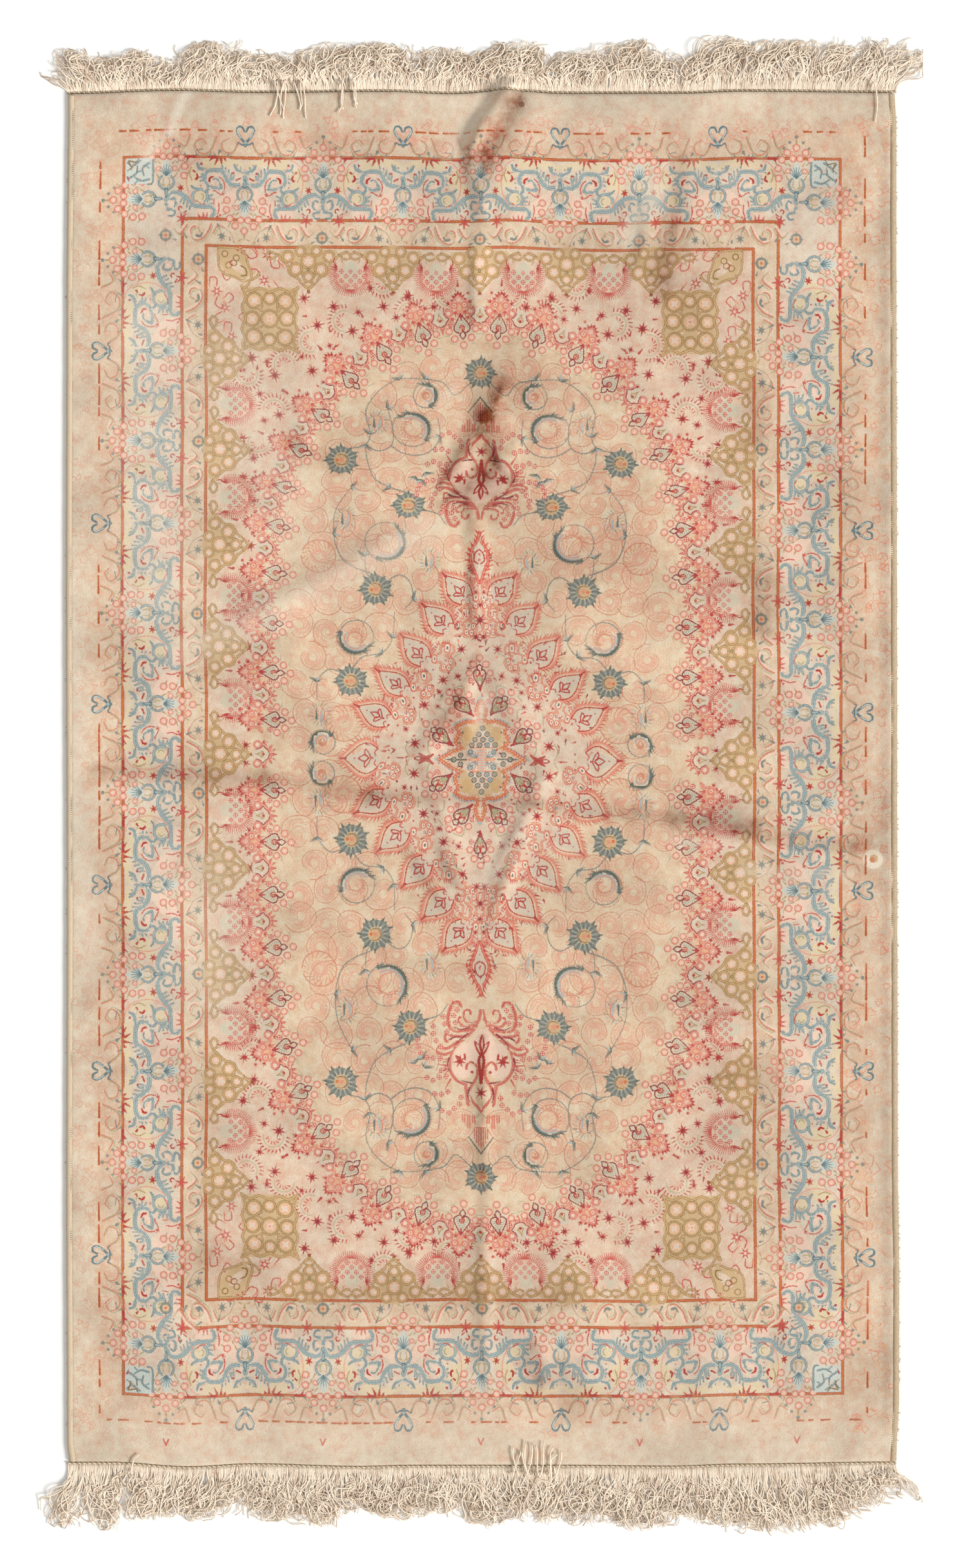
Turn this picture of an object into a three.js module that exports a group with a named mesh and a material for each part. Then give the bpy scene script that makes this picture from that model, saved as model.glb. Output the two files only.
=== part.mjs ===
// A hand-knotted Persian rug lying on a floor, in millimetres, +Z up and +Y along its length.
// The pile body is one slab that follows the rug's uneven edges and its folds. Overcast side
// cords, a twined row at each end and the two warp fringes are pieces of their own around it.
import * as THREE from "three";

// Driving dimensions
const RUG_WIDTH = 1400; // over the side cords
const RUG_LENGTH = 2310; // from one pile end to the other
const PILE_THICKNESS = 8.5; // foundation and pile together
const GAP = 0.3; // between neighbouring pieces
const SIDE_CORD_WIDTH = 7;
const SIDE_CORD_HEIGHT = 8;
const TWINING_WIDTH = 4;
const TWINING_HEIGHT = 6;
const ROOT_STRIP_WIDTH = 3;
const STRANDS_PER_END = 146;
const STRAND_WIDTH = 4.4;
const STRAND_HEIGHT = 3.4; // also the root strip's
const STRAND_STEPS = 3;

// How far each edge stands out from the plain rectangle, at places along it
const LEFT_EDGE = [
  { along: -1155, out: -5 },
  { along: -1120, out: -1 },
  { along: -700, out: 0.5 },
  { along: -200, out: -0.5 },
  { along: 300, out: 1 },
  { along: 800, out: 0 },
  { along: 1155, out: -3 },
];
const RIGHT_EDGE = [
  { along: -1155, out: -1 },
  { along: -1050, out: 3.5 },
  { along: -850, out: 4 },
  { along: -640, out: 1.5 },
  { along: 0, out: 0.5 },
  { along: 1100, out: -1 },
  { along: 1155, out: -4 },
];
const TOP_EDGE = [
  { along: -700, out: -2 },
  { along: -516, out: 3.5 },
  { along: -372, out: 0 },
  { along: -160, out: 2 },
  { along: -50, out: -2 },
  { along: 44, out: 3.5 },
  { along: 140, out: -1.5 },
  { along: 341, out: -1 },
  { along: 441, out: 2.5 },
  { along: 700, out: 0 },
];
const BOTTOM_EDGE = [
  { along: -700, out: -4 },
  { along: -621, out: -4 },
  { along: -495, out: 3.5 },
  { along: -386, out: -1.5 },
  { along: -207, out: 3 },
  { along: -116, out: 1 },
  { along: 136, out: 1 },
  { along: 315, out: 2.5 },
  { along: 435, out: -1 },
  { along: 700, out: -4.5 },
];

// Raised folds: crest from (fromX, fromY) to (toX, toY), half width, height of the crest,
// and 1 where that end of the crest fades out to the floor
const FOLDS = [
  { fromX: 44, fromY: 1162, toX: -14, toY: 1062, half: 27, rise: 18, fadeFrom: 0, fadeTo: 0 },
  { fromX: -14, fromY: 1062, toX: 0, toY: 930, half: 25, rise: 11, fadeFrom: 0, fadeTo: 1 },
  { fromX: -4, fromY: 960, toX: -3, toY: 700, half: 26, rise: 5, fadeFrom: 1, fadeTo: 1 },
  { fromX: 58, fromY: 712, toX: -66, toY: 480, half: 30, rise: 7, fadeFrom: 1, fadeTo: 1 },
  { fromX: -18, fromY: 705, toX: 62, toY: 500, half: 28, rise: 6, fadeFrom: 1, fadeTo: 1 },
  { fromX: -60, fromY: 440, toX: -500, toY: 205, half: 60, rise: 6, fadeFrom: 1, fadeTo: 1 },
  { fromX: -12, fromY: 520, toX: -3, toY: 200, half: 26, rise: 6, fadeFrom: 1, fadeTo: 1 },
  { fromX: -3, fromY: 225, toX: -96, toY: 45, half: 32, rise: 8, fadeFrom: 1, fadeTo: 0 },
  { fromX: -96, fromY: 45, toX: -20, toY: -225, half: 30, rise: 7, fadeFrom: 0, fadeTo: 1 },
  { fromX: 0, fromY: 215, toX: 108, toY: 10, half: 32, rise: 7, fadeFrom: 1, fadeTo: 0 },
  { fromX: 108, fromY: 10, toX: 8, toY: -240, half: 30, rise: 8, fadeFrom: 0, fadeTo: 1 },
  { fromX: -1, fromY: -400, toX: 0, toY: -700, half: 25, rise: 5, fadeFrom: 1, fadeTo: 1 },
  { fromX: 0, fromY: -710, toX: 1, toY: -1060, half: 25, rise: 5, fadeFrom: 1, fadeTo: 1 },
  { fromX: 330, fromY: -80, toX: 660, toY: -72, half: 52, rise: 6, fadeFrom: 1, fadeTo: 1 },
  { fromX: 390, fromY: -180, toX: 655, toY: -178, half: 50, rise: 6, fadeFrom: 1, fadeTo: 1 },
  { fromX: 285, fromY: 995, toX: 312, toY: 800, half: 52, rise: 6, fadeFrom: 1, fadeTo: 1 },
  { fromX: -335, fromY: 585, toX: -215, toY: 495, half: 46, rise: 5, fadeFrom: 1, fadeTo: 1 },
  { fromX: 82, fromY: -940, toX: 110, toY: -1085, half: 40, rise: 5, fadeFrom: 1, fadeTo: 1 },
];

// The fringes' outline: at each place along the end, how far the tips reach out and how far
// they are swept sideways
const TOP_FRINGE = [
  { along: -697, reach: 32, sweep: -44 },
  { along: -676, reach: 74, sweep: -22 },
  { along: -630, reach: 66, sweep: -15 },
  { along: -580, reach: 84, sweep: -2 },
  { along: -555, reach: 60, sweep: 0 },
  { along: -535, reach: 38, sweep: 2 },
  { along: -512, reach: 52, sweep: 6 },
  { along: -490, reach: 90, sweep: 10 },
  { along: -450, reach: 92, sweep: 12 },
  { along: -380, reach: 74, sweep: 8 },
  { along: -330, reach: 62, sweep: -6 },
  { along: -250, reach: 84, sweep: -4 },
  { along: -130, reach: 82, sweep: 8 },
  { along: -50, reach: 76, sweep: 16 },
  { along: 60, reach: 80, sweep: 12 },
  { along: 180, reach: 72, sweep: 6 },
  { along: 240, reach: 96, sweep: -6 },
  { along: 300, reach: 58, sweep: -4 },
  { along: 380, reach: 92, sweep: 10 },
  { along: 440, reach: 78, sweep: 14 },
  { along: 540, reach: 92, sweep: 20 },
  { along: 600, reach: 76, sweep: 16 },
  { along: 650, reach: 94, sweep: 18 },
  { along: 680, reach: 80, sweep: 28 },
  { along: 697, reach: 62, sweep: 48 },
];
const BOTTOM_FRINGE = [
  { along: -697, reach: 112, sweep: -6 },
  { along: -650, reach: 120, sweep: 0 },
  { along: -622, reach: 92, sweep: -4 },
  { along: -600, reach: 56, sweep: -8 },
  { along: -570, reach: 92, sweep: -14 },
  { along: -430, reach: 96, sweep: -18 },
  { along: -400, reach: 72, sweep: -6 },
  { along: -370, reach: 106, sweep: 6 },
  { along: -270, reach: 102, sweep: 6 },
  { along: -220, reach: 72, sweep: 2 },
  { along: -140, reach: 98, sweep: 0 },
  { along: -90, reach: 76, sweep: 2 },
  { along: 10, reach: 108, sweep: 4 },
  { along: 70, reach: 84, sweep: 4 },
  { along: 160, reach: 112, sweep: 2 },
  { along: 205, reach: 92, sweep: 2 },
  { along: 260, reach: 114, sweep: 4 },
  { along: 320, reach: 94, sweep: 8 },
  { along: 430, reach: 116, sweep: 18 },
  { along: 560, reach: 112, sweep: 34 },
  { along: 620, reach: 84, sweep: 28 },
  { along: 660, reach: 58, sweep: 14 },
  { along: 680, reach: 46, sweep: 14 },
  { along: 697, reach: 78, sweep: 46 },
];

// The value of a table's column at a place along it, eased from row to row
function column(table, key, along) {
  const last = table.length - 1;
  if (along <= table[0].along) return table[0][key];
  if (along >= table[last].along) return table[last][key];
  const next = table.findIndex((row) => row.along > along);
  const [a, b] = [table[next - 1], table[next]];
  const t = THREE.MathUtils.smoothstep(along, a.along, b.along);
  return THREE.MathUtils.lerp(a[key], b[key], t);
}

const leftX = (y) => -RUG_WIDTH / 2 - column(LEFT_EDGE, "out", y);
const rightX = (y) => RUG_WIDTH / 2 + column(RIGHT_EDGE, "out", y);

// How high the cloth's underside is lifted off the floor at (x, y)
function foldHeight(x, y) {
  let lift = 0;
  for (const fold of FOLDS) {
    const [dx, dy] = [fold.toX - fold.fromX, fold.toY - fold.fromY];
    const along = ((x - fold.fromX) * dx + (y - fold.fromY) * dy) / (dx * dx + dy * dy);
    const t = THREE.MathUtils.clamp(along, 0, 1);
    const away = Math.hypot(x - fold.fromX - t * dx, y - fold.fromY - t * dy);
    if (away >= fold.half) continue;
    const fadeIn = fold.fadeFrom ? THREE.MathUtils.smoothstep(t, 0, 0.3) : 1;
    const fadeOut = fold.fadeTo ? THREE.MathUtils.smoothstep(1 - t, 0, 0.3) : 1;
    const across = 0.5 + 0.5 * Math.cos((Math.PI * away) / fold.half);
    lift = Math.max(lift, fold.rise * across * fadeIn * fadeOut);
  }
  return lift;
}

// A fixed number between -1 and 1 for a whole number, the same each time
function scatter(n) {
  const s = Math.sin(n * 127.1 + 31.7) * 43758.5453;
  return 2 * (s - Math.floor(s)) - 1;
}

// Where the body's grid lines run: their spacing from each place on, closest at the folds
const COLUMN_SPACING = [
  { from: -700, step: 85 },
  { from: -360, step: 50 },
  { from: -110, step: 18.5 },
  { from: 110, step: 45 },
  { from: 340, step: 90 },
  { from: 700, step: 0 },
];
const ROW_SPACING = [
  { from: -1155, step: 55 },
  { from: -330, step: 40 },
  { from: 260, step: 55 },
  { from: 480, step: 40 },
  { from: 1040, step: 19 },
  { from: 1155, step: 0 },
];
function stations(spacing) {
  return spacing.flatMap((here, i) => {
    if (!here.step) return [here.from];
    const length = spacing[i + 1].from - here.from;
    const count = Math.round(length / here.step);
    return Array.from({ length: count }, (_, n) => here.from + (length * n) / count);
  });
}
const COLUMNS = stations(COLUMN_SPACING);
const ROWS = stations(ROW_SPACING);

// The pile's two end edges as lines through the columns, from left to right
function endEdge(end, table) {
  const y = (end * RUG_LENGTH) / 2;
  return COLUMNS.map((x) => {
    const across = THREE.MathUtils.mapLinear(x, COLUMNS[0], COLUMNS.at(-1), leftX(y), rightX(y));
    return new THREE.Vector2(across, y + end * column(table, "out", x));
  });
}
const TOP_LINE = endEdge(1, TOP_EDGE);
const BOTTOM_LINE = endEdge(-1, BOTTOM_EDGE);

function lineY(line, x) {
  const next = THREE.MathUtils.clamp(line.findIndex((p) => p.x > x), 1, line.length - 1);
  return THREE.MathUtils.mapLinear(x, line[next - 1].x, line[next].x, line[next - 1].y, line[next].y);
}

// A closed body of rings with the same number of points, joined in order and capped flat
function ringBody(rings) {
  const sides = rings[0].length;
  const points = rings.flat();
  const faces = [];
  for (let ring = 0; ring + 1 < rings.length; ring++)
    for (let side = 0; side < sides; side++) {
      const a = ring * sides + side;
      const b = ring * sides + ((side + 1) % sides);
      faces.push(a, b, b + sides, a, b + sides, a + sides);
    }
  const end = points.length - sides;
  for (let side = 1; side + 1 < sides; side++) {
    faces.push(0, side + 1, side);
    faces.push(end, end + side, end + side + 1);
  }
  return new THREE.BufferGeometry().setFromPoints(points).setIndex(faces);
}

// Rings along a path on the floor: section points are (across, up), counter-clockwise when
// seen looking back along the path, and each one is lifted by the folds under the path
function floorBody(path, across, section) {
  const rings = path.map((here) => {
    const lift = foldHeight(here.x, here.y);
    return section.map(
      (p) => new THREE.Vector3(here.x + across.x * p.x, here.y + across.y * p.x, lift + p.y),
    );
  });
  return ringBody(rings);
}

function piece(name, geometry, color, roughness) {
  const material = new THREE.MeshStandardMaterial({ color, roughness, metalness: 0 });
  const mesh = new THREE.Mesh(geometry, material);
  mesh.name = name;
  return mesh;
}

// The point of a row at x, with the row running evenly between the two end edges
function rowPoint(row, x) {
  const v = row / RUG_LENGTH + 0.5;
  return new THREE.Vector2(x, THREE.MathUtils.lerp(lineY(BOTTOM_LINE, x), lineY(TOP_LINE, x), v));
}

// Pile body: a slab whose top and underside both follow the folds
function pileGeometry() {
  const inset = SIDE_CORD_WIDTH + GAP;
  const wide = COLUMNS.length;
  const skin = ROWS.flatMap((row) =>
    COLUMNS.map((place) => {
      const [left, right] = [leftX(row), rightX(row)];
      const across = THREE.MathUtils.mapLinear(place, COLUMNS[0], COLUMNS.at(-1), left, right);
      const p = rowPoint(row, THREE.MathUtils.clamp(across, left + inset, right - inset));
      return new THREE.Vector3(p.x, p.y, foldHeight(p.x, p.y));
    }),
  );
  const raised = skin.map((p) => p.clone().setZ(p.z + PILE_THICKNESS));
  const top = skin.length;
  const faces = [];
  for (let r = 0; r + 1 < ROWS.length; r++)
    for (let c = 0; c + 1 < wide; c++) {
      const a = r * wide + c;
      const [b, d, e] = [a + 1, a + wide, a + wide + 1];
      faces.push(a, e, b, a, d, e);
      faces.push(top + a, top + b, top + e, top + a, top + e, top + d);
    }
  const rim = [];
  for (let c = 0; c + 1 < wide; c++) rim.push(c);
  for (let r = 0; r + 1 < ROWS.length; r++) rim.push(r * wide + wide - 1);
  for (let c = wide - 1; c > 0; c--) rim.push((ROWS.length - 1) * wide + c);
  for (let r = ROWS.length - 1; r > 0; r--) rim.push(r * wide);
  rim.forEach((a, i) => {
    const b = rim[(i + 1) % rim.length];
    faces.push(a, b, top + b, a, top + b, top + a);
  });
  return new THREE.BufferGeometry().setFromPoints([...skin, ...raised]).setIndex(faces);
}

// Side cord: the edge warps bound round with yarn, an oval flattened on the floor
function sideCordGeometry(side) {
  const [w, h] = [SIDE_CORD_WIDTH / 2, SIDE_CORD_HEIGHT];
  const section = [
    new THREE.Vector2(-w * 0.55, 0),
    new THREE.Vector2(w * 0.55, 0),
    new THREE.Vector2(w, h * 0.35),
    new THREE.Vector2(w * 0.8, h * 0.8),
    new THREE.Vector2(0, h),
    new THREE.Vector2(-w * 0.8, h * 0.8),
    new THREE.Vector2(-w, h * 0.35),
  ];
  const path = ROWS.map((row) => {
    const edge = side < 0 ? leftX(row) : rightX(row);
    return rowPoint(row, edge - (side * SIDE_CORD_WIDTH) / 2);
  });
  return floorBody(path.reverse(), new THREE.Vector2(1, 0), section);
}

// Twining: a pair of wefts twisted round the warps outside the pile's last row
function twiningGeometry(end) {
  const [w, h] = [TWINING_WIDTH / 2, TWINING_HEIGHT];
  const section = [
    new THREE.Vector2(-w, 0),
    new THREE.Vector2(w, 0),
    new THREE.Vector2(w, h * 0.7),
    new THREE.Vector2(0, h),
    new THREE.Vector2(-w, h * 0.7),
  ];
  const edge = end > 0 ? TOP_LINE : BOTTOM_LINE;
  const path = edge.map((p) => new THREE.Vector2(p.x, p.y + end * (GAP + w)));
  return floorBody(path.reverse(), new THREE.Vector2(0, -1), section);
}

// Fringe: three-sided strands lying on the floor, their roots fused into a narrow strip.
// It is worked out in the end's own frame: s to the right seen from above with the fringe
// pointing away, o outwards from the pile's edge and z up.
function fringeGeometry(end, table) {
  const edge = end > 0 ? TOP_LINE : BOTTOM_LINE;
  const inside = 2 * GAP + TWINING_WIDTH;
  const root = inside + ROOT_STRIP_WIDTH;
  const half = STRAND_WIDTH / 2;
  const [first, final] = [end * edge[0].x, end * edge.at(-1).x].sort((a, b) => a - b);
  const points = [];
  const faces = [];
  const put = (s, o, z) => {
    const [x, y] = [end * s, lineY(edge, end * s) + end * o];
    points.push(new THREE.Vector3(x, y, z + foldHeight(x, y)));
    return points.length - 1;
  };
  const quad = (a, b, c, d) => faces.push(a, b, c, a, c, d);
  let last = null;
  for (let strand = 0; strand < STRANDS_PER_END; strand++) {
    const s = THREE.MathUtils.lerp(first + half, final - half, strand / (STRANDS_PER_END - 1));
    const low = put(s, inside, 0);
    const high = put(s, inside, STRAND_HEIGHT);
    const uneven = 1 + 0.09 * scatter(strand) + 0.05 * Math.cos(Math.PI * strand);
    const reach = column(table, "reach", end * s) * uneven;
    const sweep = end * column(table, "sweep", end * s);
    const bow = 1.2 * scatter(strand + 500);
    const at = (t) => s + sweep * t ** 1.6 + bow * Math.sin(Math.PI * t);
    const out = (t) => THREE.MathUtils.lerp(root, reach, t);
    let ring = [put(s - half, root, 0), put(s + half, root, 0), put(s, root, STRAND_HEIGHT)];
    const [rootLeft, rootRight, rootTop] = ring;
    for (let step = 1; step < STRAND_STEPS; step++) {
      const t = step / STRAND_STEPS;
      const here = [at(t) - half, at(t) + half, at(t)];
      const next = here.map((place, corner) => put(place, out(t), corner < 2 ? 0 : STRAND_HEIGHT));
      quad(ring[0], next[0], next[1], ring[1]);
      quad(ring[1], next[1], next[2], ring[2]);
      quad(ring[0], ring[2], next[2], next[0]);
      ring = next;
    }
    const tip = put(at(1), out(1), 0);
    faces.push(ring[0], tip, ring[1], ring[1], tip, ring[2], ring[0], ring[2], tip);
    faces.push(low, rootLeft, rootRight);
    if (last) {
      quad(last.low, last.rootRight, rootLeft, low);
      quad(last.high, high, rootTop, last.rootTop);
      quad(last.low, low, high, last.high);
      quad(rootLeft, last.rootRight, last.rootTop, rootTop);
    } else quad(low, high, rootTop, rootLeft);
    last = { low, high, rootRight, rootTop };
  }
  quad(last.low, last.rootRight, last.rootTop, last.high);
  return new THREE.BufferGeometry().setFromPoints(points).setIndex(faces);
}

const rug = new THREE.Group();
rug.add(
  piece("rug_pile", pileGeometry(), "#d9c0a3", 0.95),
  piece("side_cord_left", sideCordGeometry(-1), "#cdbda2", 0.9),
  piece("side_cord_right", sideCordGeometry(1), "#77706a", 0.9),
  piece("twining_top", twiningGeometry(1), "#a48a72", 0.9),
  piece("twining_bottom", twiningGeometry(-1), "#a48a72", 0.9),
  piece("fringe_top", fringeGeometry(1, TOP_FRINGE), "#e2d5bf", 0.9),
  piece("fringe_bottom", fringeGeometry(-1, BOTTOM_FRINGE), "#ddd0bc", 0.9),
);

// The origin is the middle of the rug's box, on the floor
const box = new THREE.Box3().setFromObject(rug);
const middle = box.getCenter(new THREE.Vector3());
rug.children.forEach((mesh) => mesh.position.set(-middle.x, -middle.y, -box.min.z));

export default rug;
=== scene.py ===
import math

import bpy
import numpy as np
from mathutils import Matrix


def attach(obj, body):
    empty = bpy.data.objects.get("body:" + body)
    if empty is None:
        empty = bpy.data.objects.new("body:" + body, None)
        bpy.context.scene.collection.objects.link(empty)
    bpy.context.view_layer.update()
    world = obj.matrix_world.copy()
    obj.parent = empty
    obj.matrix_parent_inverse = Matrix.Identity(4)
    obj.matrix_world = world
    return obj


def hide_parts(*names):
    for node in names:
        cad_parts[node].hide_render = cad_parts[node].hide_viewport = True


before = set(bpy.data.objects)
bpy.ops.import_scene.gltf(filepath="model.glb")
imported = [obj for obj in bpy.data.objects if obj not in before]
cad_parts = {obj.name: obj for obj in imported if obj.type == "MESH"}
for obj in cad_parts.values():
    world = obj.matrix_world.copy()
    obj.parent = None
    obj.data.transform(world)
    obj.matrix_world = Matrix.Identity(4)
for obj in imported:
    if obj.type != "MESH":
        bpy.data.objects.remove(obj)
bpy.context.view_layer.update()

# ================================================================ Pile
# Wool knotted on a cotton foundation and sheared short: one worn, limp cloth 8.5 mm thick, lying
# flat but for the creases left by folding it up. Its pattern is tied in knot by knot.
# ---------------------------------------------------------------- the knotting chart
# The pattern is charted in knots, as on a weaver's chart: x to the right and y up from the
# middle of the pile. Each row of the chart is one stroke of yarn: a tapered line, a dot or a ring.
random = np.random.default_rng(7)
chart = []
YARNS = {
    "ivory": "#EEDFC8", "butter": "#DDC9A6", "blush": "#E8C8B2", "mist": "#D1C0AB",
    "peach": "#E0B490", "ghost": "#CB866C", "salmon": "#DE8E72", "rose": "#C4584E",
    "crimson": "#B2403A", "wine": "#8A3E48", "rust": "#A4542E", "orange": "#CF7448",
    "amber": "#CBA677", "gold": "#B09468", "olive": "#836438", "sage": "#ADA684",
    "slate": "#84867D", "teal": "#62685F", "blue": "#667B7F", "pale_blue": "#A6B2AE",
    "sky": "#C8CEC4", "brown": "#8A5C40", "sand": "#CDAE84", "pink": "#DE9A84",
    "fade": "#D8A68A", "haze": "#CDC2AA",
}
YARN_NUMBER = {name: number for number, name in enumerate(YARNS)}


def unit(turn):
    """One step in a heading given in degrees."""
    return np.array([math.cos(math.radians(turn)), math.sin(math.radians(turn))])


def spot(x=0.0, y=0.0, turn=0.0, wide=1.0, tall=1.0):
    """A motif's place: its middle, its turn in degrees and its scale along each axis."""
    c, s = unit(turn)
    return np.array([[c * wide, -s * tall, x], [s * wide, c * tall, y]])


def inside(outer, inner):
    """The place inner, given within the place outer."""
    both = outer[:, :2] @ inner
    both[:, 2] += outer[:, 2]
    return both


def both_ways(place, wide=1, tall=1):
    """The place flipped over one of its axes, then as it is."""
    return inside(place, spot(wide=wide, tall=tall)), place


def stroke(place, points, yarn, width=0.8, end_width=None):
    """A run of straight stitches through points, tapering from width to end_width."""
    points = np.asarray(points, float) @ place[:, :2].T + place[:, 2]
    last = width if end_width is None else end_width
    widths = np.linspace(width, last, len(points))
    for a, b, wa, wb in zip(points[:-1], points[1:], widths[:-1], widths[1:]):
        chart.append((a[0], a[1], b[0], b[1], 0.0, wa, wb, YARN_NUMBER[yarn]))


def smooth(points, pieces):
    """Points on a soft curve through the given points."""
    p = np.asarray(points, float)
    p = np.vstack([2 * p[0] - p[1], p, 2 * p[-1] - p[-2]])
    t = np.linspace(0, 1, pieces, endpoint=False)[:, None]
    runs = []
    for a, b, c, d in zip(p[:-3], p[1:-2], p[2:-1], p[3:]):
        bend = (2 * a - 5 * b + 4 * c - d) * t**2 + (3 * b - a - 3 * c + d) * t**3
        runs.append(0.5 * (2 * b + (c - a) * t + bend))
    return np.vstack(runs + [p[-2:-1]])


def curve(place, points, yarn, width=0.8, end_width=None, pieces=3):
    stroke(place, smooth(points, pieces), yarn, width, end_width)


def dot(place, x, y, radius, yarn):
    c = place[:, :2] @ (x, y) + place[:, 2]
    chart.append((c[0], c[1], c[0], c[1], 0.0, radius, radius, YARN_NUMBER[yarn]))


def ring(place, x, y, radius, yarn, width=0.8):
    c = place[:, :2] @ (x, y) + place[:, 2]
    chart.append((c[0], c[1], c[0], c[1], radius, width, width, YARN_NUMBER[yarn]))


def arc(place, x, y, radius, start, end, yarn, width=0.8, end_width=None, steps=6):
    a = np.radians(np.linspace(start, end, steps))
    points = np.column_stack([x + radius * np.cos(a), y + radius * np.sin(a)])
    stroke(place, points, yarn, width, end_width)


def petal(place, x, y, turn, length, width, yarn, tip=0.3):
    """A petal or leaf that starts at (x, y) and narrows to its tip."""
    c, s = unit(turn)
    stroke(place, [(x + c * width, y + s * width), (x + c * length, y + s * length)], yarn, width, tip)


def rim_petal(place, r, at, lean, length, width, yarn, tip=0.3):
    """A petal that starts r from the middle in the heading `at` and leans from it by lean."""
    x, y = r * unit(at)
    petal(place, x, y, at + lean, length, width, yarn, tip)


def star(place, x, y, petals, length, width, yarn, turn, heart=None):
    for n in range(petals):
        petal(place, x, y, turn + 360 * n / petals, length, width, yarn)
    if heart:
        dot(place, x, y, width * 1.1, heart)


def teeth(place, points, yarn, length, lean, side, gap, width):
    """Pointed ticks along one side of a curve, leaning forward by lean degrees."""
    p = smooth(points, 6)
    steps = np.hypot(*np.diff(p, axis=0).T)
    along = np.concatenate([[0], np.cumsum(steps)])
    for at in np.arange(gap / 2, along[-1], gap):
        n = min(np.searchsorted(along, at), len(p) - 1)
        x, y = p[n]
        heading = math.degrees(math.atan2(*(p[n] - p[n - 1])[::-1]))
        petal(place, x, y, heading + side * (90 - lean), length, width, yarn)


def piped(place, points, width, core, core_width):
    """A double line: two thin rose edges with a paler core between them."""
    curve(place, points, "rose", width)
    curve(place, points, core, core_width)


def stem(place, points, width, end_width):
    """An arabesque stem: dark edges, a grey blue body and a pale vein."""
    curve(place, points, "blue", width, end_width)
    curve(place, points, "pale_blue", width - 0.75, max(end_width - 0.7, 0.3))
    curve(place, points, "blue", 0.35, 0.3)


def leaves(place, rows, width=2.4):
    """Acanthus teeth, each from its foot to its tip."""
    for x, y, tip_x, tip_y in rows:
        stroke(place, [(x, y), (tip_x, tip_y)], "blue", width, 1.0)
    for x, y, tip_x, tip_y in rows:
        short = (x + 0.8 * (tip_x - x), y + 0.8 * (tip_y - y))
        stroke(place, [(x, y), short], "pale_blue", width - 0.8, 0.5)


def tuft(place, x, y, turn, yarn, length):
    """A small filled tuft of three points."""
    for lean, share, width in ((0, 1.0, 1.5), (42, 0.72, 1.3), (-42, 0.72, 1.3)):
        petal(place, x, y, turn + lean, length * share, width, yarn, 0.4)


def rosette(place, x, y, size=1.0):
    """A round flower: a rose ring toothed on its inner side."""
    dot(place, x, y, 5.9 * size, "rose")
    dot(place, x, y, 4.6 * size, "blush")
    for turn in (0, 45, 90, 135):
        c, s = 4.7 * size * unit(turn)
        stroke(place, [(x - c, y - s), (x + c, y + s)], "salmon", 0.7 * size)
    dot(place, x, y, 2.7 * size, "blush")


def tile(place, x, y, size):
    """A small square flower of four petals."""
    dot(place, x, y, 3.9 * size, "rose")
    for dx, dy in ((1.5, 1.5), (1.5, -1.5), (-1.5, 1.5), (-1.5, -1.5)):
        dot(place, x + dx * size, y + dy * size, 1.0 * size, "blush")


# ------------------------------------------------------------ main border
# Half a repeat of the border runs from an inward bunch of roses (s = 0) to an outward one
# (s = REPEAT); t counts from the inner border line (0) to the outer one (BORDER).
REPEAT = 137.0
BORDER = 96.0


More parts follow.
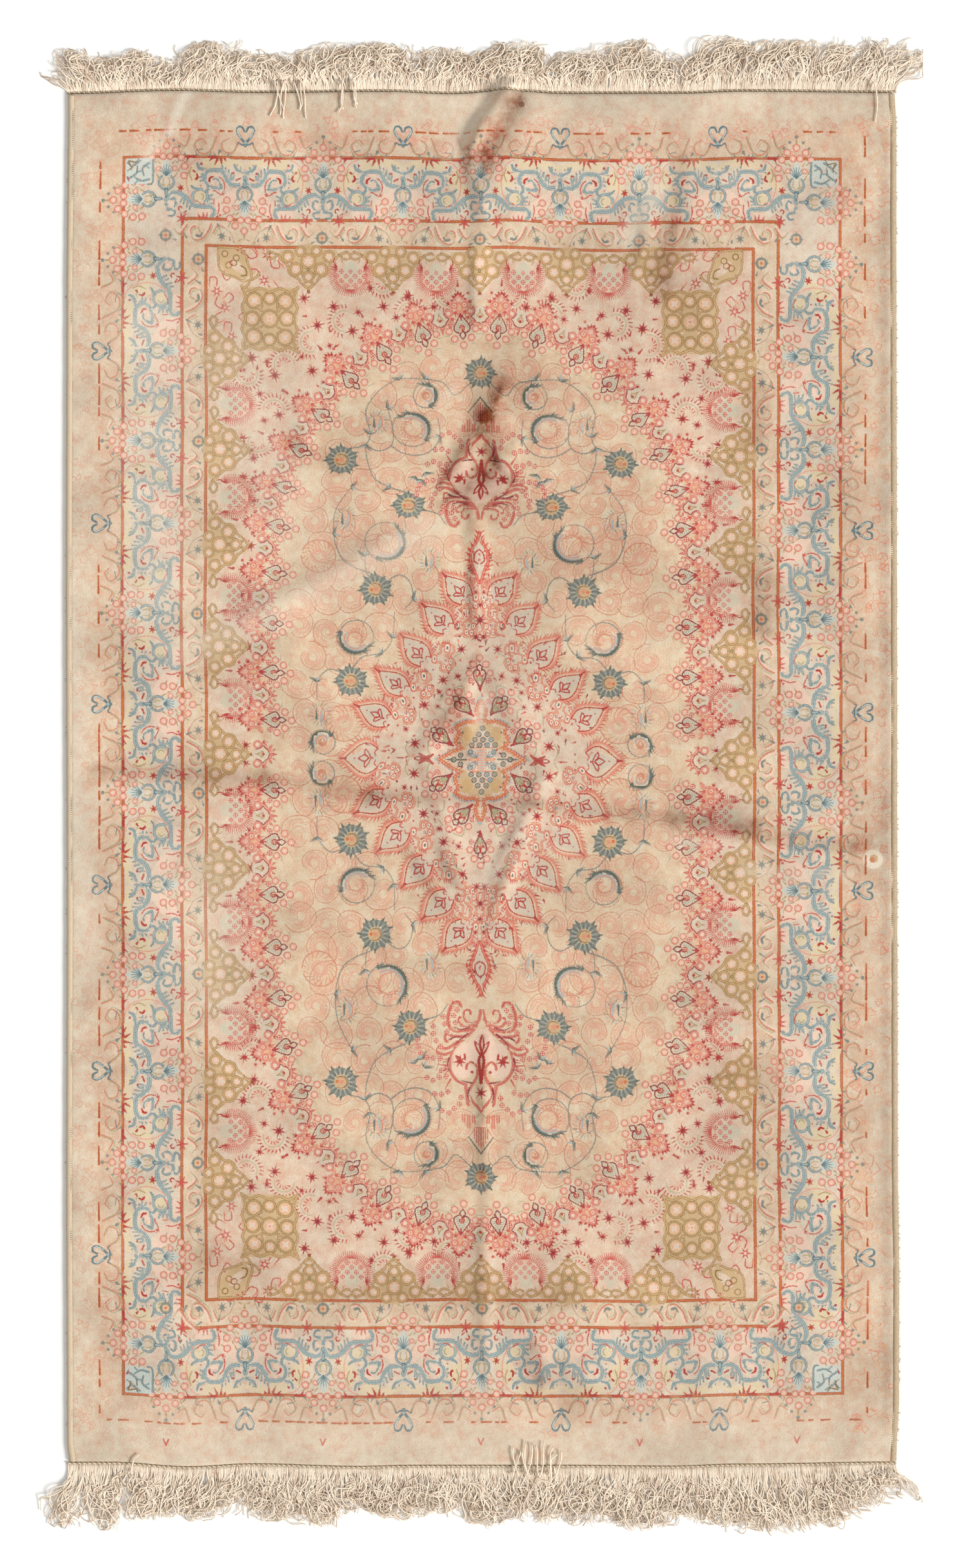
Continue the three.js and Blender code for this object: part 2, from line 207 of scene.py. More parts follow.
def border_half(place):
    for points, yarn, width in (([(8, 84), (34, 90)], "butter", 6), ([(48, 86), (66, 86)], "butter", 8),
                                ([(88, 74), (92, 56)], "butter", 9), ([(100, 60), (112, 44)], "butter", 6),
                                ([(26, 30), (36, 22)], "blush", 13), ([(44, 12), (78, 9)], "blush", 7),
                                ([(12, 44), (20, 36)], "blush", 9), ([(52, 60), (58, 66)], "blush", 9)):
        stroke(place, points, yarn, width)
    leaves(place, [(22, 60, 19, 69), (26, 62, 23, 73), (31, 66, 28, 77), (36, 71, 34, 80), (40, 75, 40, 83),
                   (69, 70, 76, 69), (72, 66, 79, 64), (71, 61, 78, 58), (78, 77, 84, 74), (79, 79, 76, 86),
                   (13, 78, 14, 85), (9, 76, 8, 82)])
    stem(place, [(1, 74), (3, 72.4), (8, 75.7), (14.4, 78), (18.7, 85)], 3.4, 1.6)
    stem(place, [(66, 75), (74.4, 76.6), (80.8, 79), (83.5, 86)], 3.0, 1.4)
    stem(place, [(0, 66), (1.6, 59.5), (6, 54.8), (13.4, 53.4), (23, 54.8), (29.4, 58.9), (34.8, 65.4),
                 (38, 72), (43.3, 75.7), (52, 75.9), (60.5, 75), (67, 71.3), (70, 65.4), (69.6, 58.3),
                 (65.8, 53.6), (58.3, 49), (50, 47.7), (41, 49.5)], 3.4, 2.6)
    stem(place, [(41, 49.5), (43.3, 56), (46.5, 60.7), (50.8, 62.8), (55, 62)], 2.2, 1.2)
    stroke(place, [(8, 64.8), (15, 61.8)], "crimson", 1.3, 1.5)
    dot(place, 20.3, 72.4, 1.9, "crimson")
    dot(place, 76, 84.8, 1.9, "crimson")
    dot(place, 76.8, 51, 1.2, "crimson")
    curve(place, [(56.2, 66), (61.5, 63), (62, 58.5)], "crimson", 1.2, 1.8)
    curve(place, [(44.4, 65.4), (38.5, 60.7), (35.3, 52.4), (36.4, 44)], "rose", 0.9)
    tuft(place, 40, 39, 160, "rose", 6)
    curve(place, [(41, 38), (46.5, 40.6), (52, 44), (55, 43.6)], "rose", 0.8)
    curve(place, [(45.5, 25.3), (44.4, 16), (47.6, 6.5)], "rose", 0.9)
    dot(place, 42.3, 6.5, 1.9, "rose")
    tuft(place, 48, 5, 240, "rose", 6)
    stroke(place, [(53, 31), (54, 23)], "rose", 0.9)
    for x, y, turn, length in ((42.3, 95, 262, 11), (47.6, 94, 300, 12), (56, 96, 318, 9),
                               (36, 96, 250, 6), (98, 96, 300, 8)):
        petal(place, x, y, turn, length, 2.2, "crimson", 0.5)
    stroke(place, [(50, 95.3), (64, 95.6)], "crimson", 2.0, 1.2)
    stroke(place, [(88, 95.6), (104, 95.6)], "crimson", 1.9, 1.2)
    for x, y, turn in ((66, 3, 100), (71, 3, 80), (78, 2, 60)):
        petal(place, x, y, turn, 7, 1.5, "rose", 0.5)
    stroke(place, [(66, 1.5), (80, 2.5)], "rose", 1.8, 1.0)
    leaves(place, [(64, 34, 56, 38), (66, 30, 57, 31), (66, 25, 57, 24), (93, 24, 96, 14),
                   (98, 28, 101, 17), (103, 32, 107, 22), (107, 35, 112, 25), (66, 20, 60, 24)])
    ring(place, 78, 34, 11.5, "blue", 2.3)
    ring(place, 78, 34, 11.5, "pale_blue", 1.5)
    dot(place, 78, 34, 9.0, "butter")
    arc(place, 76, 34, 4.5, 100, 250, "sage", 1.0)
    curve(place, [(69, 23), (77, 23.5), (84, 28)], "rose", 0.8)
    stem(place, [(64.7, 52), (64, 46), (68, 42.4)], 2.0, 1.8)
    stem(place, [(83, 45), (90, 47.7), (94, 51)], 2.4, 1.0)
    stem(place, [(57, 4.7), (53.5, 9), (54, 15), (60, 18.6), (67, 18.8), (77.6, 19.2), (87, 20),
                 (93.6, 25.3), (103.3, 33.6), (113, 38.3), (123.6, 39.5), (132, 36), (137, 29)], 2.6, 3.4)
    stem(place, [(137, 22), (132, 15), (124, 17), (120, 24), (123, 31), (129, 29)], 2.5, 1.4)
    stem(place, [(134, 14), (127, 13), (121.4, 10), (125, 4), (132, 4)], 2.3, 1.2)
    stroke(place, [(126, 22), (127, 24)], "blush", 3.0)
    curve(place, [(84, 69), (82.5, 64), (85.6, 61)], "crimson", 1.3, 1.9)
    stroke(place, [(90, 74), (87, 72)], "crimson", 1.9, 1.2)
    curve(place, [(93.6, 79.5), (96.8, 70), (92.6, 59.5)], "gold", 0.9)
    curve(place, [(77.6, 93), (88.3, 89.5), (97.4, 79.5), (101.7, 59.5), (100, 44), (94.7, 33.6),
                  (89.4, 25)], "pink", 0.8)
    for turn in range(0, 360, 60):
        petal(place, 111.8, 47, turn + 15, 5.2, 1.6, "crimson", 0.8)
    arc(place, 112, 15, 3.2, -60, 150, "crimson", 1.0)
    stroke(place, [(102, 11), (107, 8)], "crimson", 1.2, 0.6)
    for turn in (20, 75, 130, 200, 270, 330):
        petal(place, 108.6, 0, turn, 9.5, 1.9, "crimson" if turn % 2 else "rose", 0.8)
    dot(place, 108.6, 0, 2.6, "rose")


def bunch(place, fan_dots):
    """A three-cornered bunch of roses on a vase: the local y axis points to its tip."""
    for half in both_ways(place, wide=-1):
        for x, y, turn, length in ((4, -46, 50, 7), (12, -33, 30, 10), (15, -10, 55, 8), (21, 4, 30, 9),
                                   (32, -27, 60, 7), (18, -24, 20, 8), (9, -12, 40, 8), (27, -10, 70, 8)):
            petal(half, x, y, 90 - turn, length, 1.3, "gold")
        petal(half, 5, -51, 210, 6, 1.6, "blue", 0.6)
        vase = [(0, -51), (7, -49), (11.5, -42), (10, -34), (5, -30), (0, -27)]
        curve(half, vase, "blue", 1.9, 1.5)
        curve(half, vase, "pale_blue", 0.8, 0.6)
        curve(half, [(1.5, -47), (5, -41), (4, -34)], "sage", 0.8)
    stroke(place, [(0, -52), (0, -62)], "blue", 3.4, 1.8)
    stroke(place, [(0, -53), (0, -60)], "pale_blue", 1.6, 0.8)
    stroke(place, [(0, -22), (0, -8)], "sky", 9, 2.5)
    for turn in (40, 58, 74, 90, 106, 122, 140):
        petal(place, 0, -30, turn, 17, 1.0, "blue", 0.5)
    for half in both_ways(place, wide=-1):
        for x, y, size in ((13, -19, 0.72), (27.4, -30, 1), (28, -15.5, 1), (22.7, -2, 1), (5.6, 0, 0.95),
                           (14.3, 9, 1)):
            rosette(half, x, y, size)
    rosette(place, 0, 16.5)
    petal(place, 0, 22, 90, 9, 1.8, "gold")
    if fan_dots:
        for x, y, size in ((0, 33, 3.0), (10.5, 24.5, 2.4), (-10.5, 24.5, 2.4), (19.5, 15.6, 2.3),
                           (-19.5, 15.6, 2.3)):
            dot(place, x, y, size, "slate")


def inner_guard_half(place):
    for points in ([(58, -8), (66, -24), (80, -33), (93, -27), (92, -15), (82, -12), (78, -20)],
                   [(18, -34), (30, -14), (46, -10), (54, -22)], [(100, -10), (112, -24), (126, -12)]):
        curve(place, points, "ghost", 1.6, 0.9)
        curve(place, np.array(points) + (2.5, 3), "blush", 1.9, 0.8)
        curve(place, np.array(points) + (-2.5, -3), "sage", 0.7, 0.6)
    star(place, 39, -26, 7, 7.5, 1.7, "slate", 20)
    petal(place, 47, -6, 245, 13, 1.9, "slate")
    curve(place, [(73, -22), (77, -27), (83, -26)], "slate", 1.2, 2.2)
    petal(place, 100, -31, 60, 12, 1.9, "slate")
    petal(place, 24, -33, 80, 8, 1.8, "slate")
    petal(place, 118, -34, 20, 8, 1.5, "slate")
    petal(place, 10, -32, 160, 8, 1.2, "gold")


def diamond_floret(place):
    ring(place, 0, 0, 7.5, "slate", 1.8)
    for turn in (0, 90, 180, 270):
        petal(place, 0, 0, turn, 12, 2.6, "slate")
    dot(place, 0, 0, 5.0, "peach")
    dot(place, 0, 0, 2.0, "orange")


def outer_guard_half(place):
    for points in ([(12, 120), (22, 104), (38, 106), (40, 120), (28, 126)],
                   [(50, 128), (62, 104), (80, 102), (88, 116), (76, 124), (68, 116)],
                   [(96, 130), (104, 112), (118, 118)]):
        curve(place, points, "ghost", 1.5, 0.8)
        curve(place, np.array(points) + (2.5, -3), "sage", 0.9, 0.5)
    petal(place, 43, 108, 300, 9, 2.6, "slate")
    for s, turn in ((30, 100), (52, 60), (63, 120), (84, 70), (103, 50)):
        petal(place, s, 97, turn, 8, 1.5, "slate")
    stroke(place, [(74, 108), (84, 106)], "slate", 0.9)


def heart_palmette(place):
    """A pale blue heart on the dashed line, its lobes towards the rug's edge."""
    for half in both_ways(place, wide=-1):
        curve(half, [(0, -10), (7, -2), (13, 8), (11, 15), (5, 15), (1.5, 8)],
              "blue", 2.0, 1.4)
        curve(half, [(7, -2), (12.5, 8), (10.5, 14)], "sky", 0.8, 0.6)
        curve(half, [(0, -12), (6, -12), (11, -9), (13, -13)], "blue", 1.3, 0.7)
        petal(half, 0, -16, 130, 7, 1.2, "blue")
    dot(place, 0, -9, 2.4, "pale_blue")


def dashes(line, far, upright, skips):
    """A broken line of rust dashes from -far to far, left out at the skips."""
    at = -far
    while at < far:
        length = random.uniform(6, 30) if upright else random.uniform(4, 15)
        if random.uniform() < 0.68 and all(abs(at + length / 2 - s) > 16 + length / 2 for s in skips):
            dash = [(line, at), (line + random.uniform(-0.5, 0.5), at + length)]
            if not upright:
                dash = [(x, y) for y, x in dash]
            stroke(WHOLE, dash, "orange", 1.9, 1.5)
            stroke(WHOLE, dash, "rust", 1.2, 0.5)
        at += length + random.uniform(3, 14)


# How far from the chart's middle each side's lines lie: the pile's edge, the dashed line, the outer
# and the inner line of the main border, and the line round the field
LINES = {
    "right": (637.3, 594.5, 556, 460, 421.5), "left": (637.3, 592.5, 556, 464, 427),
    "top": (1062.6, 1000.5, 958.5, 860.5, 818.5), "bottom": (1062.6, 996.5, 955.5, 849.5, 808.5),
}
# The places of the bunches of roses along a long and a short side, outward bunches marked +1 and
# inward ones -1
BUNCHES_ALONG = [(891.5, 1), (796.5, 1), (652.5, -1), (509.5, 1), (384.5, -1), (246.5, 1), (102.5, -1),
                 (-37.5, 1), (-173.5, -1), (-308.5, 1), (-453.5, -1), (-598.5, 1), (-744.5, -1), (-876.5, 1)]
BUNCHES_ACROSS = [(-490, 1), (-368, -1), (-247, 1), (-123, -1), (-2, 1), (121, -1), (244, 1), (366, -1),
                  (488, 1)]
WHOLE = spot()


def side_place(side, line, at, along, deep):
    """A place on a side of the rug, its x axis along the side and its y axis outwards."""
    sign = 1 if side in ("right", "top") else -1
    if side in ("right", "left"):
        return np.array([[0.0, sign * deep, sign * line], [along, 0.0, at]])
    return np.array([[along, 0.0, at], [0.0, sign * deep, sign * line]])


def draw_border(side, bunches):
    outer, inner = LINES[side][2:4]
    deep = (outer - inner) / BORDER
    halves = []
    for (a, kind_a), (b, kind_b) in zip(bunches[:-1], bunches[1:]):
        if kind_a != kind_b:
            at, to = (a, b) if kind_a < 0 else (b, a)
            halves.append(side_place(side, inner, at, (to - at) / REPEAT, deep))
    for half in halves:
        inner_guard_half(half)
        outer_guard_half(half)
    for half in halves:
        border_half(half)
    for at, kind in bunches:
        here = side_place(side, inner, at, 1.0, deep)
        if kind > 0:
            bunch(inside(here, spot(0, BORDER)), True)
            diamond_floret(inside(here, spot(0, -26)))
        else:
            bunch(inside(here, spot(0, 0, tall=-1)), False)
            heart_palmette(inside(here, spot(0, 129)))


def draw_line(right, left, top, bottom):
    """A line all round: rust with an orange heart, which shows most on the right."""
    sides = [[(right, -bottom), (right, top)], [(-left, -bottom), (-left, top)],
             [(-left, top), (right, top)], [(-left, -bottom), (right, -bottom)]]
    for yarn, width in (("rust", 2.4), ("orange", 1.0)):
        for side in sides:
            stroke(WHOLE, side, yarn, width)
    stroke(WHOLE, sides[0], "orange", 1.0)


def draw_margins(scribbles=1500):
    """The faded scrollwork outside the dashed line, with its few spots and stains."""
    for n in range(scribbles):
        side = 1 if n % 3 else -1
        x, y = side * random.uniform(566, 632), random.uniform(-1020, 1020)
        if n % 5 == 0:
            x, y = random.uniform(-560, 560), side * random.uniform(972, 1020)
        yarn = ("pink", "peach", "salmon", "peach", "fade")[n % 5 if side > 0 else 4]
        radius, start, end = random.uniform(3, 9), random.uniform(0, 360), random.uniform(380, 560)
        arc(spot(x, y), 0, 0, radius, start, end, yarn, 0.6, 0.6, 5)
    for x, y, r, yarn in ((606, -125, 15, "ivory"), (605, -125, 8, "ivory"), (607, -124, 6.5, "amber"),
                          (605, -126, 4.0, "orange"), (640, -136, 2.6, "orange"), (62, 1042, 4.5, "brown"),
                          (56, -480, 3.0, "butter")):
        dot(WHOLE, x, y, r, yarn)


draw_margins()
for n in (4, 3, 2):
    draw_line(*(lines[n] for lines in LINES.values()))
for side in LINES:
    draw_border(side, BUNCHES_ALONG if side in ("right", "left") else BUNCHES_ACROSS)
for side, sign in (("right", 1), ("left", -1)):
    dashes(sign * LINES[side][1], 985, True, [at for at, kind in BUNCHES_ALONG if kind < 0])
for side, sign in (("top", 1), ("bottom", -1)):
    dashes(sign * LINES[side][1], 580, False, [at for at, kind in BUNCHES_ACROSS if kind < 0])
for at, kind in BUNCHES_ACROSS:
    if kind > 0:
        stroke(WHOLE, [(at - 4, -1022), (at, -1031), (at + 4, -1022)], "rose", 1.3)

# corners of the main border: a blue panel outside the two outward bunches
for mx in (-1, 1):
    for my, side in ((-1, "bottom"), (1, "top")):
        corner = spot(mx * 541, my * LINES[side][2], wide=mx, tall=my)
        for x in range(-26, 10, 5):
            stroke(corner, [(x, -5), (x, -40)], "sky", 3.2)
        for points in ([(-30, -6), (-30, -40), (-22, -44)], [(-24, -10), (-14, -18), (-16, -30)],
                       [(8, -34), (-4, -26), (-6, -14)], [(-10, -6), (2, -14), (10, -8)],
                       [(-24, -36), (-12, -38), (-2, -32)]):
            stem(corner, points, 1.8, 1.0)
        leaves(corner, [(-14, -22, -6, -24), (-18, -14, -24, -18), (0, -12, 4, -20), (-8, -36, -2, -42)],
               1.6)
        for points in ([(8, -6), (4, -16), (10, -22)], [(6, -6), (-4, -8), (-8, -2)]):
            curve(corner, points, "olive", 1.1, 0.6)
        petal(corner, 10, -30, 250, 9, 1.6, "crimson")

# ------------------------------------------------------------ field
# The field is charted for its lower right quarter, X to the right and Y down from the middle of
# the medallion, and mirrored; the upper half is woven a little tighter.
MIDDLE_X, MIDDLE_Y = -2.0, 27.5
# the quarter's y where it meets its mirror image
WAIST = 6
QUARTERS = [
    np.array([[mx, 0.0, MIDDLE_X], [0.0, -my, MIDDLE_Y + WAIST * my]])
    for mx in (1, -1) for my in (1, -1)
]


def woven_tighter(y):
    """Where a height of the mirrored chart lies on the rug: the upper half is drawn in."""
    far = np.interp(y - MIDDLE_Y, [0, 85, 146, 247, 295, 395, 470, 545, 600, 724, 836],
                    [0, 83, 140, 240, 286.5, 380, 437.6, 503, 552, 679.5, 791])
    return np.where(y > MIDDLE_Y, MIDDLE_Y + far, y)


def pulled_up(x, y):
    """How much higher the rows lie towards the left edge."""
    rise = np.interp(y, [-1063, -876, -744, -598, -453, -308, -173, -37, 102, 246, 384, 509, 652, 796,
                         958, 1063], [0, -1, 5, 3, 0, 5, 9, 16, 13, 10, 11, 14, 10, 7, 3, 0])
    return rise * np.clip(-x / 510, 0, 1)


def quarters(motif, x, y, turn=0.0, **sizes):
    """Draws a motif at (x, y) in each quarter, once only where it sits on an axis."""
    for n, quarter in enumerate(QUARTERS):
        if x == 0 and n >= 2 or y == WAIST and n % 2:
            continue
        motif(inside(quarter, spot(x, y, turn)), **sizes)


def ghost_scroll(place, r):
    """A faded scroll in the inner field: a round stem with feathery leaves inside it."""
    a = np.linspace(0, 5.6, 19)
    out = r * (1 - 0.07 * a + 0.04 * np.sin(3 * a))
    for turn, far in zip(np.degrees(a[:18]), out):
        for share, lean, yarn in ((0.86, 125, "fade"), (0.66, 140, "pink"), (0.42, 130, "fade")):
            lean += random.uniform(-14, 14)
            rim_petal(place, far * share, turn, lean, random.uniform(6, 11), 0.65, yarn, 0.35)
    stroke(place, np.column_stack([out * np.cos(a), out * np.sin(a)]), "ghost", 0.75, 0.5)
    turned = np.column_stack([out * 0.66 * np.cos(a + 1), out * 0.66 * np.sin(a + 1)])
    stroke(place, turned[:13], "fade", 0.9, 0.7)


def feathered_ring(place, r):
    """The strongest of the scrolls: a ring of orange feathers that point to its middle."""
    arc(place, 0, 0, r, 0, 340, "ghost", 0.9, 0.9, 16)
    for turn in range(0, 360, 10):
        rim_petal(place, r * 0.95, turn, 150, 13, 0.75, "ghost" if turn % 20 else "peach")
        rim_petal(place, r * 0.5, turn, 165, 7, 0.55, "pink")


def serrated_flower(place, r):
    """A flower of 14 pointed leaves, each dark at one rim and greyer inside, round a sandy heart."""
    for n in range(14):
        turn = 360 * n / 14 + (6 if n % 3 else -6)
        out, rim = unit(turn), unit(turn + 9)
        far = r * (1.0 if n % 2 else 0.88)
        stroke(place, [out * r * 0.5, out * r * 0.76], "slate", 3.6, 4.2)
        stroke(place, [out * r * 0.76, out * far * 1.08], "slate", 4.2, 0.4)
        stroke(place, [rim * r * 0.6, out * far * 1.1], "teal", 2.4, 0.8)
        rim_petal(place, r * 0.55, turn, -12, r * 0.34, 0.7, "sage")
    arc(place, 0, 0, r * 0.66, 0, 360, "slate", r * 0.2, r * 0.2, 14)
    for turn in range(10, 370, 24):
        petal(place, 0, 0, turn, r * 0.9, 1.1, "teal")
        petal(place, 0, 0, turn + 12, r * 0.8, 0.8, "haze")
    dot(place, 0, 0, r * 0.45, "sand")
    arc(place, -2, 0, r * 0.34, 100, 280, "slate", 1.6, 0.6, 7)
    arc(place, 1, 0, r * 0.36, 40, 300, "olive", 0.6, 0.6, 9)
    for turn in range(0, 360, 40):
        petal(place, 0, 0, turn, r * 0.36, 0.7, "ghost" if turn % 80 else "salmon")
    dot(place, r * 0.24, -r * 0.1, 2.6, "orange")


def blurred_palmette(place, r=17.0):
    """A worn palmette: a dark core between two pale leaves, its rim feathered away."""
    for n in range(18):
        c, s = r * unit(20 * n)
        petal(place, 0.62 * c, 0.8 * s, 20 * n + 20, r * 0.5, 1.0, ("sage", "pale_blue", "slate")[n % 3])
    for x, y, turn, length, width, yarn in ((-0.1, -0.8, 96, 1.4, 3.0, "pale_blue"),
                                            (0.3, -0.62, 88, 1.2, 2.4, "slate"),
                                            (0.36, -0.5, 92, 0.9, 1.1, "teal"),
                                            (-0.36, -0.6, 94, 1.1, 1.0, "salmon")):
        petal(place, r * x, r * y, turn, r * length, width, yarn, 0.5)
    arc(place, 8, 0, r * 0.9, 125, 235, "ghost", 0.8, 0.8, 6)


def crescent(place, r):
    """A scroll: a thin round stem that swells into a dark feathered rim on one side."""
    arc(place, 0, 0, r + 3.5, 65, 255, "slate", 1.0, 0.5, 12)
    for radius, yarn, swollen in ((r - 1.5, "slate", 3.6), (r, "teal", 2.4)):
        arc(place, 0, 0, radius, -85, 0, yarn, 0.7, swollen, 7)
        arc(place, 0, 0, radius, 0, 85, yarn, swollen, 0.7, 7)
    for turn in (-85, -170 / 3, 85):
        rim_petal(place, r, turn, -70, 13, 2.4, "slate", 0.4)
        rim_petal(place, r, turn, -35, 9, 1.6, "teal", 0.4)
    for turn in range(-85, 80, 8):
        rim_petal(place, r, turn, 50, 6.5, 1.0, "teal")
        rim_petal(place, r - 6, turn, 125, 6, 1.1, "pale_blue")
    arc(place, 0, 0, r - 4.4, -170 / 2.2, 170 / 2.2, "pale_blue", 1.1, 0.8, 9)
    arc(place, 0, 0, r - 6.4, -170 / 2.2, 170 / 2.2, "salmon", 0.8, 0.8, 9)
    for turn in range(90, 290, 20):
        rim_petal(place, r - 9, turn, 150, 12, 0.8, "ghost")
    arc(place, 3, 0, r - 12, 40, 300, "ghost", 0.8, 0.7, 8)


def leaf_pair(place):
    """Two leaves that part from one stalk, dark along their lower edge."""
    petal(place, 0, 0, 30, 15, 2.6, "slate")
    petal(place, 1, -1, 26, 13, 1.0, "teal")
    petal(place, 0, 0, 110, 11, 2.0, "pale_blue")
    petal(place, 0, 0, 150, 8, 1.2, "teal")


def small_star(place, size=1.0):
    for n in range(8):
        petal(place, 0, 0, 45 * n + 10, (10.5 if n % 2 else 8) * size, 1.7 * size, "crimson")
    dot(place, 0, 0, 2.4 * size, "wine")


def fern(place, r=20.0):
    """A curled sprig: two rows of short crimson ticks along a faint stem."""
    arc(place, 0, 0, r - 4, -10, 200, "sage", 0.6, 0.6, 9)
    for n in range(13):
        rim_petal(place, r, 15 * n, -20, 6.5, 1.15, "crimson", 0.5)
        if n % 2:
            rim_petal(place, r - 8, 15 * n, 200, 5.5, 1.1, "rose", 0.5)


def strapwork(place, points, width=2.0):
    """A tan band between two olive lines."""
    curve(place, points, "olive", width)
    curve(place, points, "amber", width - 0.65)


def cell(place, x, y, r, petals=5):
    """A round cell of strapwork: a tan band between olive lines, and a pale flower inside."""
    ring(place, x, y, r, "olive", 1.9)
    ring(place, x, y, r, "amber", 1.25)
    dot(place, x, y, r - 2.2, "peach")
    star(place, x, y, petals, (r - 2.2) * 0.95, (r - 2.2) * 0.3, "blush", 90)
    dot(place, x, y, 1.5, "sky")


def lambrequin(place):
    """Strapwork in olive on the field's line, like half a cartouche with its tip pointing inwards."""
    stroke(place, [(0, 58), (0, 10)], "sand", 3, 19)
    for side in (-1, 1):
        half = inside(place, spot(wide=side))
        stroke(half, [(6, 36), (23, 31)], "sand", 9, 8)
        stroke(half, [(16, 12), (40, 6)], "sand", 12, 6)
        strapwork(half, [(0, 64), (9, 55), (15, 47.5), (21, 43), (28, 39.5), (31, 33), (31, 27), (36, 21),
                         (42, 15), (48, 8), (60, 3)])
        cell(place, 32 * side, 11, 8.0)
        cell(place, 12.5 * side, 2, 7.0, 4)
        cell(place, 19.5 * side, 31.5, 9.0)
        strapwork(half, [(48, 8), (54, 14), (62, 14), (66, 8), (60, 4)], 1.6)
        strapwork(half, [(9, 55), (3, 51), (8, 44), (10, 36)], 1.6)
        petal(half, 51, 16, 60, 7, 1.1, "gold")
    cell(place, 0, 18.5, 10.5, 6)
    cell(place, 0, 43.5, 7.5)
    dot(place, 0, 31.5, 2.6, "olive")
    dot(place, 0, 31.5, 1.5, "sage")
    dot(place, 0, 67.5, 2.6, "crimson")
    for turn in (60, 120):
        petal(place, 0, 65, turn, 6, 0.9, "olive")


def basket(place):
    """A pink palmette: a wheel of fine feathers round a lattice of small square flowers."""
    stroke(place, [(0, 27), (0, 38)], "haze", 9, 15)
    wheel = inside(place, spot(0, 40))
    for turn in range(-28, 209, 6):
        rim_petal(wheel, 22.5, turn, 10 if turn < 90 else -10, 12.5, 0.85, "rose", 0.45)
        if turn % 12 == 2 and 20 < turn < 160:
            rim_petal(wheel, 16, turn, 0, 5, 1.0, "pink", 0.5)
    for half in both_ways(place, wide=-1):
        curve(half, [(21, 27), (26, 20), (25, 14)], "crimson", 0.9, 0.7)
        for turn in range(-100, 100, 26):
            petal(half, 22, 27, -turn, 8.5, 0.75, "crimson", 0.4)
        for x, y in ((7, 57), (14.2, 49.5), (7, 42), (21.4, 41.5), (14.5, 34.5)):
            tile(half, x, y, 0.95)
    for turn in range(0, 181, 22):
        petal(place, 1.5 * unit(turn)[0], 64, turn, 8.5, 0.8, "rose", 0.4)
    tile(place, 0, 49.5, 0.95)
    tile(place, 0, 34.5, 0.8)


def leaf_heart(place):
    """A wine-edged leaf shaped like a heart; it grows from its tip at x = 0 to its notch at x = 33."""
    stroke(place, [(4, 0), (21, 0), (29, 0)], "sage", 2.0, 9.0)
    for half in both_ways(place, tall=-1):
        for x in range(9, 32, 4):
            stroke(half, [(x, 0.2 * x), (x + 3, min(0.42 * x, 9.5))], "olive", 0.5)
        curve(half, [(0, 0), (12, 4.5), (20.5, 9.8), (29, 11.2), (34.5, 7), (33, 0.6)],
              "wine", 1.15, 1.0)
        curve(half, [(34, 2), (39, 5), (43, 0)], "wine", 0.9)
        curve(half, [(33, 0), (27, 1.5), (23, 4.5), (26, 6.5)], "crimson", 1.0, 0.8)
    stroke(place, [(0, 0), (8, 0)], "crimson", 1.2, 2.4)
    petal(place, 32, 0, 180, 14, 1.3, "crimson")


def bouquet(place):
    """A wine-edged heart with a bud at its inner end and a fan of ring flowers; x points outwards."""
    stroke(place, [(15, 0), (2, 0)], "haze", 3.0, 10.0)
    stroke(place, [(-7, 0), (-13, 0)], "haze", 3.5, 1.5)
    for side in (-1, 1):
        half = inside(place, spot(tall=side))
        for x in range(-3, 14, 3):
            stroke(half, [(x, 1.5), (x + 1.5, 9.5 - 0.5 * abs(x))], "slate", 0.4)
        curve(half, [(23.8, 0), (11.6, 7.8), (4.9, 11.7), (-0.7, 12.2), (-4.6, 7.8),
                      (-5.1, 3.9), (-1.8, 0.3)], "wine", 0.95, 0.9)
        curve(half, [(-3.4, 0.4), (-7, 3.6), (-10, 4.2), (-15.7, 0)], "wine", 0.85)
        curve(half, [(-1.5, 2.6), (2.5, 3.4), (6, 1.4)], "crimson", 1.0, 0.7)
        for x, y, size in ((-13.8, 13, 1.0), (-1.6, 20.5, 0.96)):
            rosette(half, x, y, size)
        tile(half, 9, 16.3, 1.08)
        petal(half, -9, 20, 90 + 8 * side, 9, 0.9, "sage")
        petal(half, -22, 13, 90 + 20 * side, 10, 0.8, "sage")
    rosette(place, -24.2, 0, 1.0)
    petal(place, -4, 0, 0, 12, 1.5, "crimson")
    petal(place, 24, 0, 180, 10, 2.3, "crimson", 1.0)


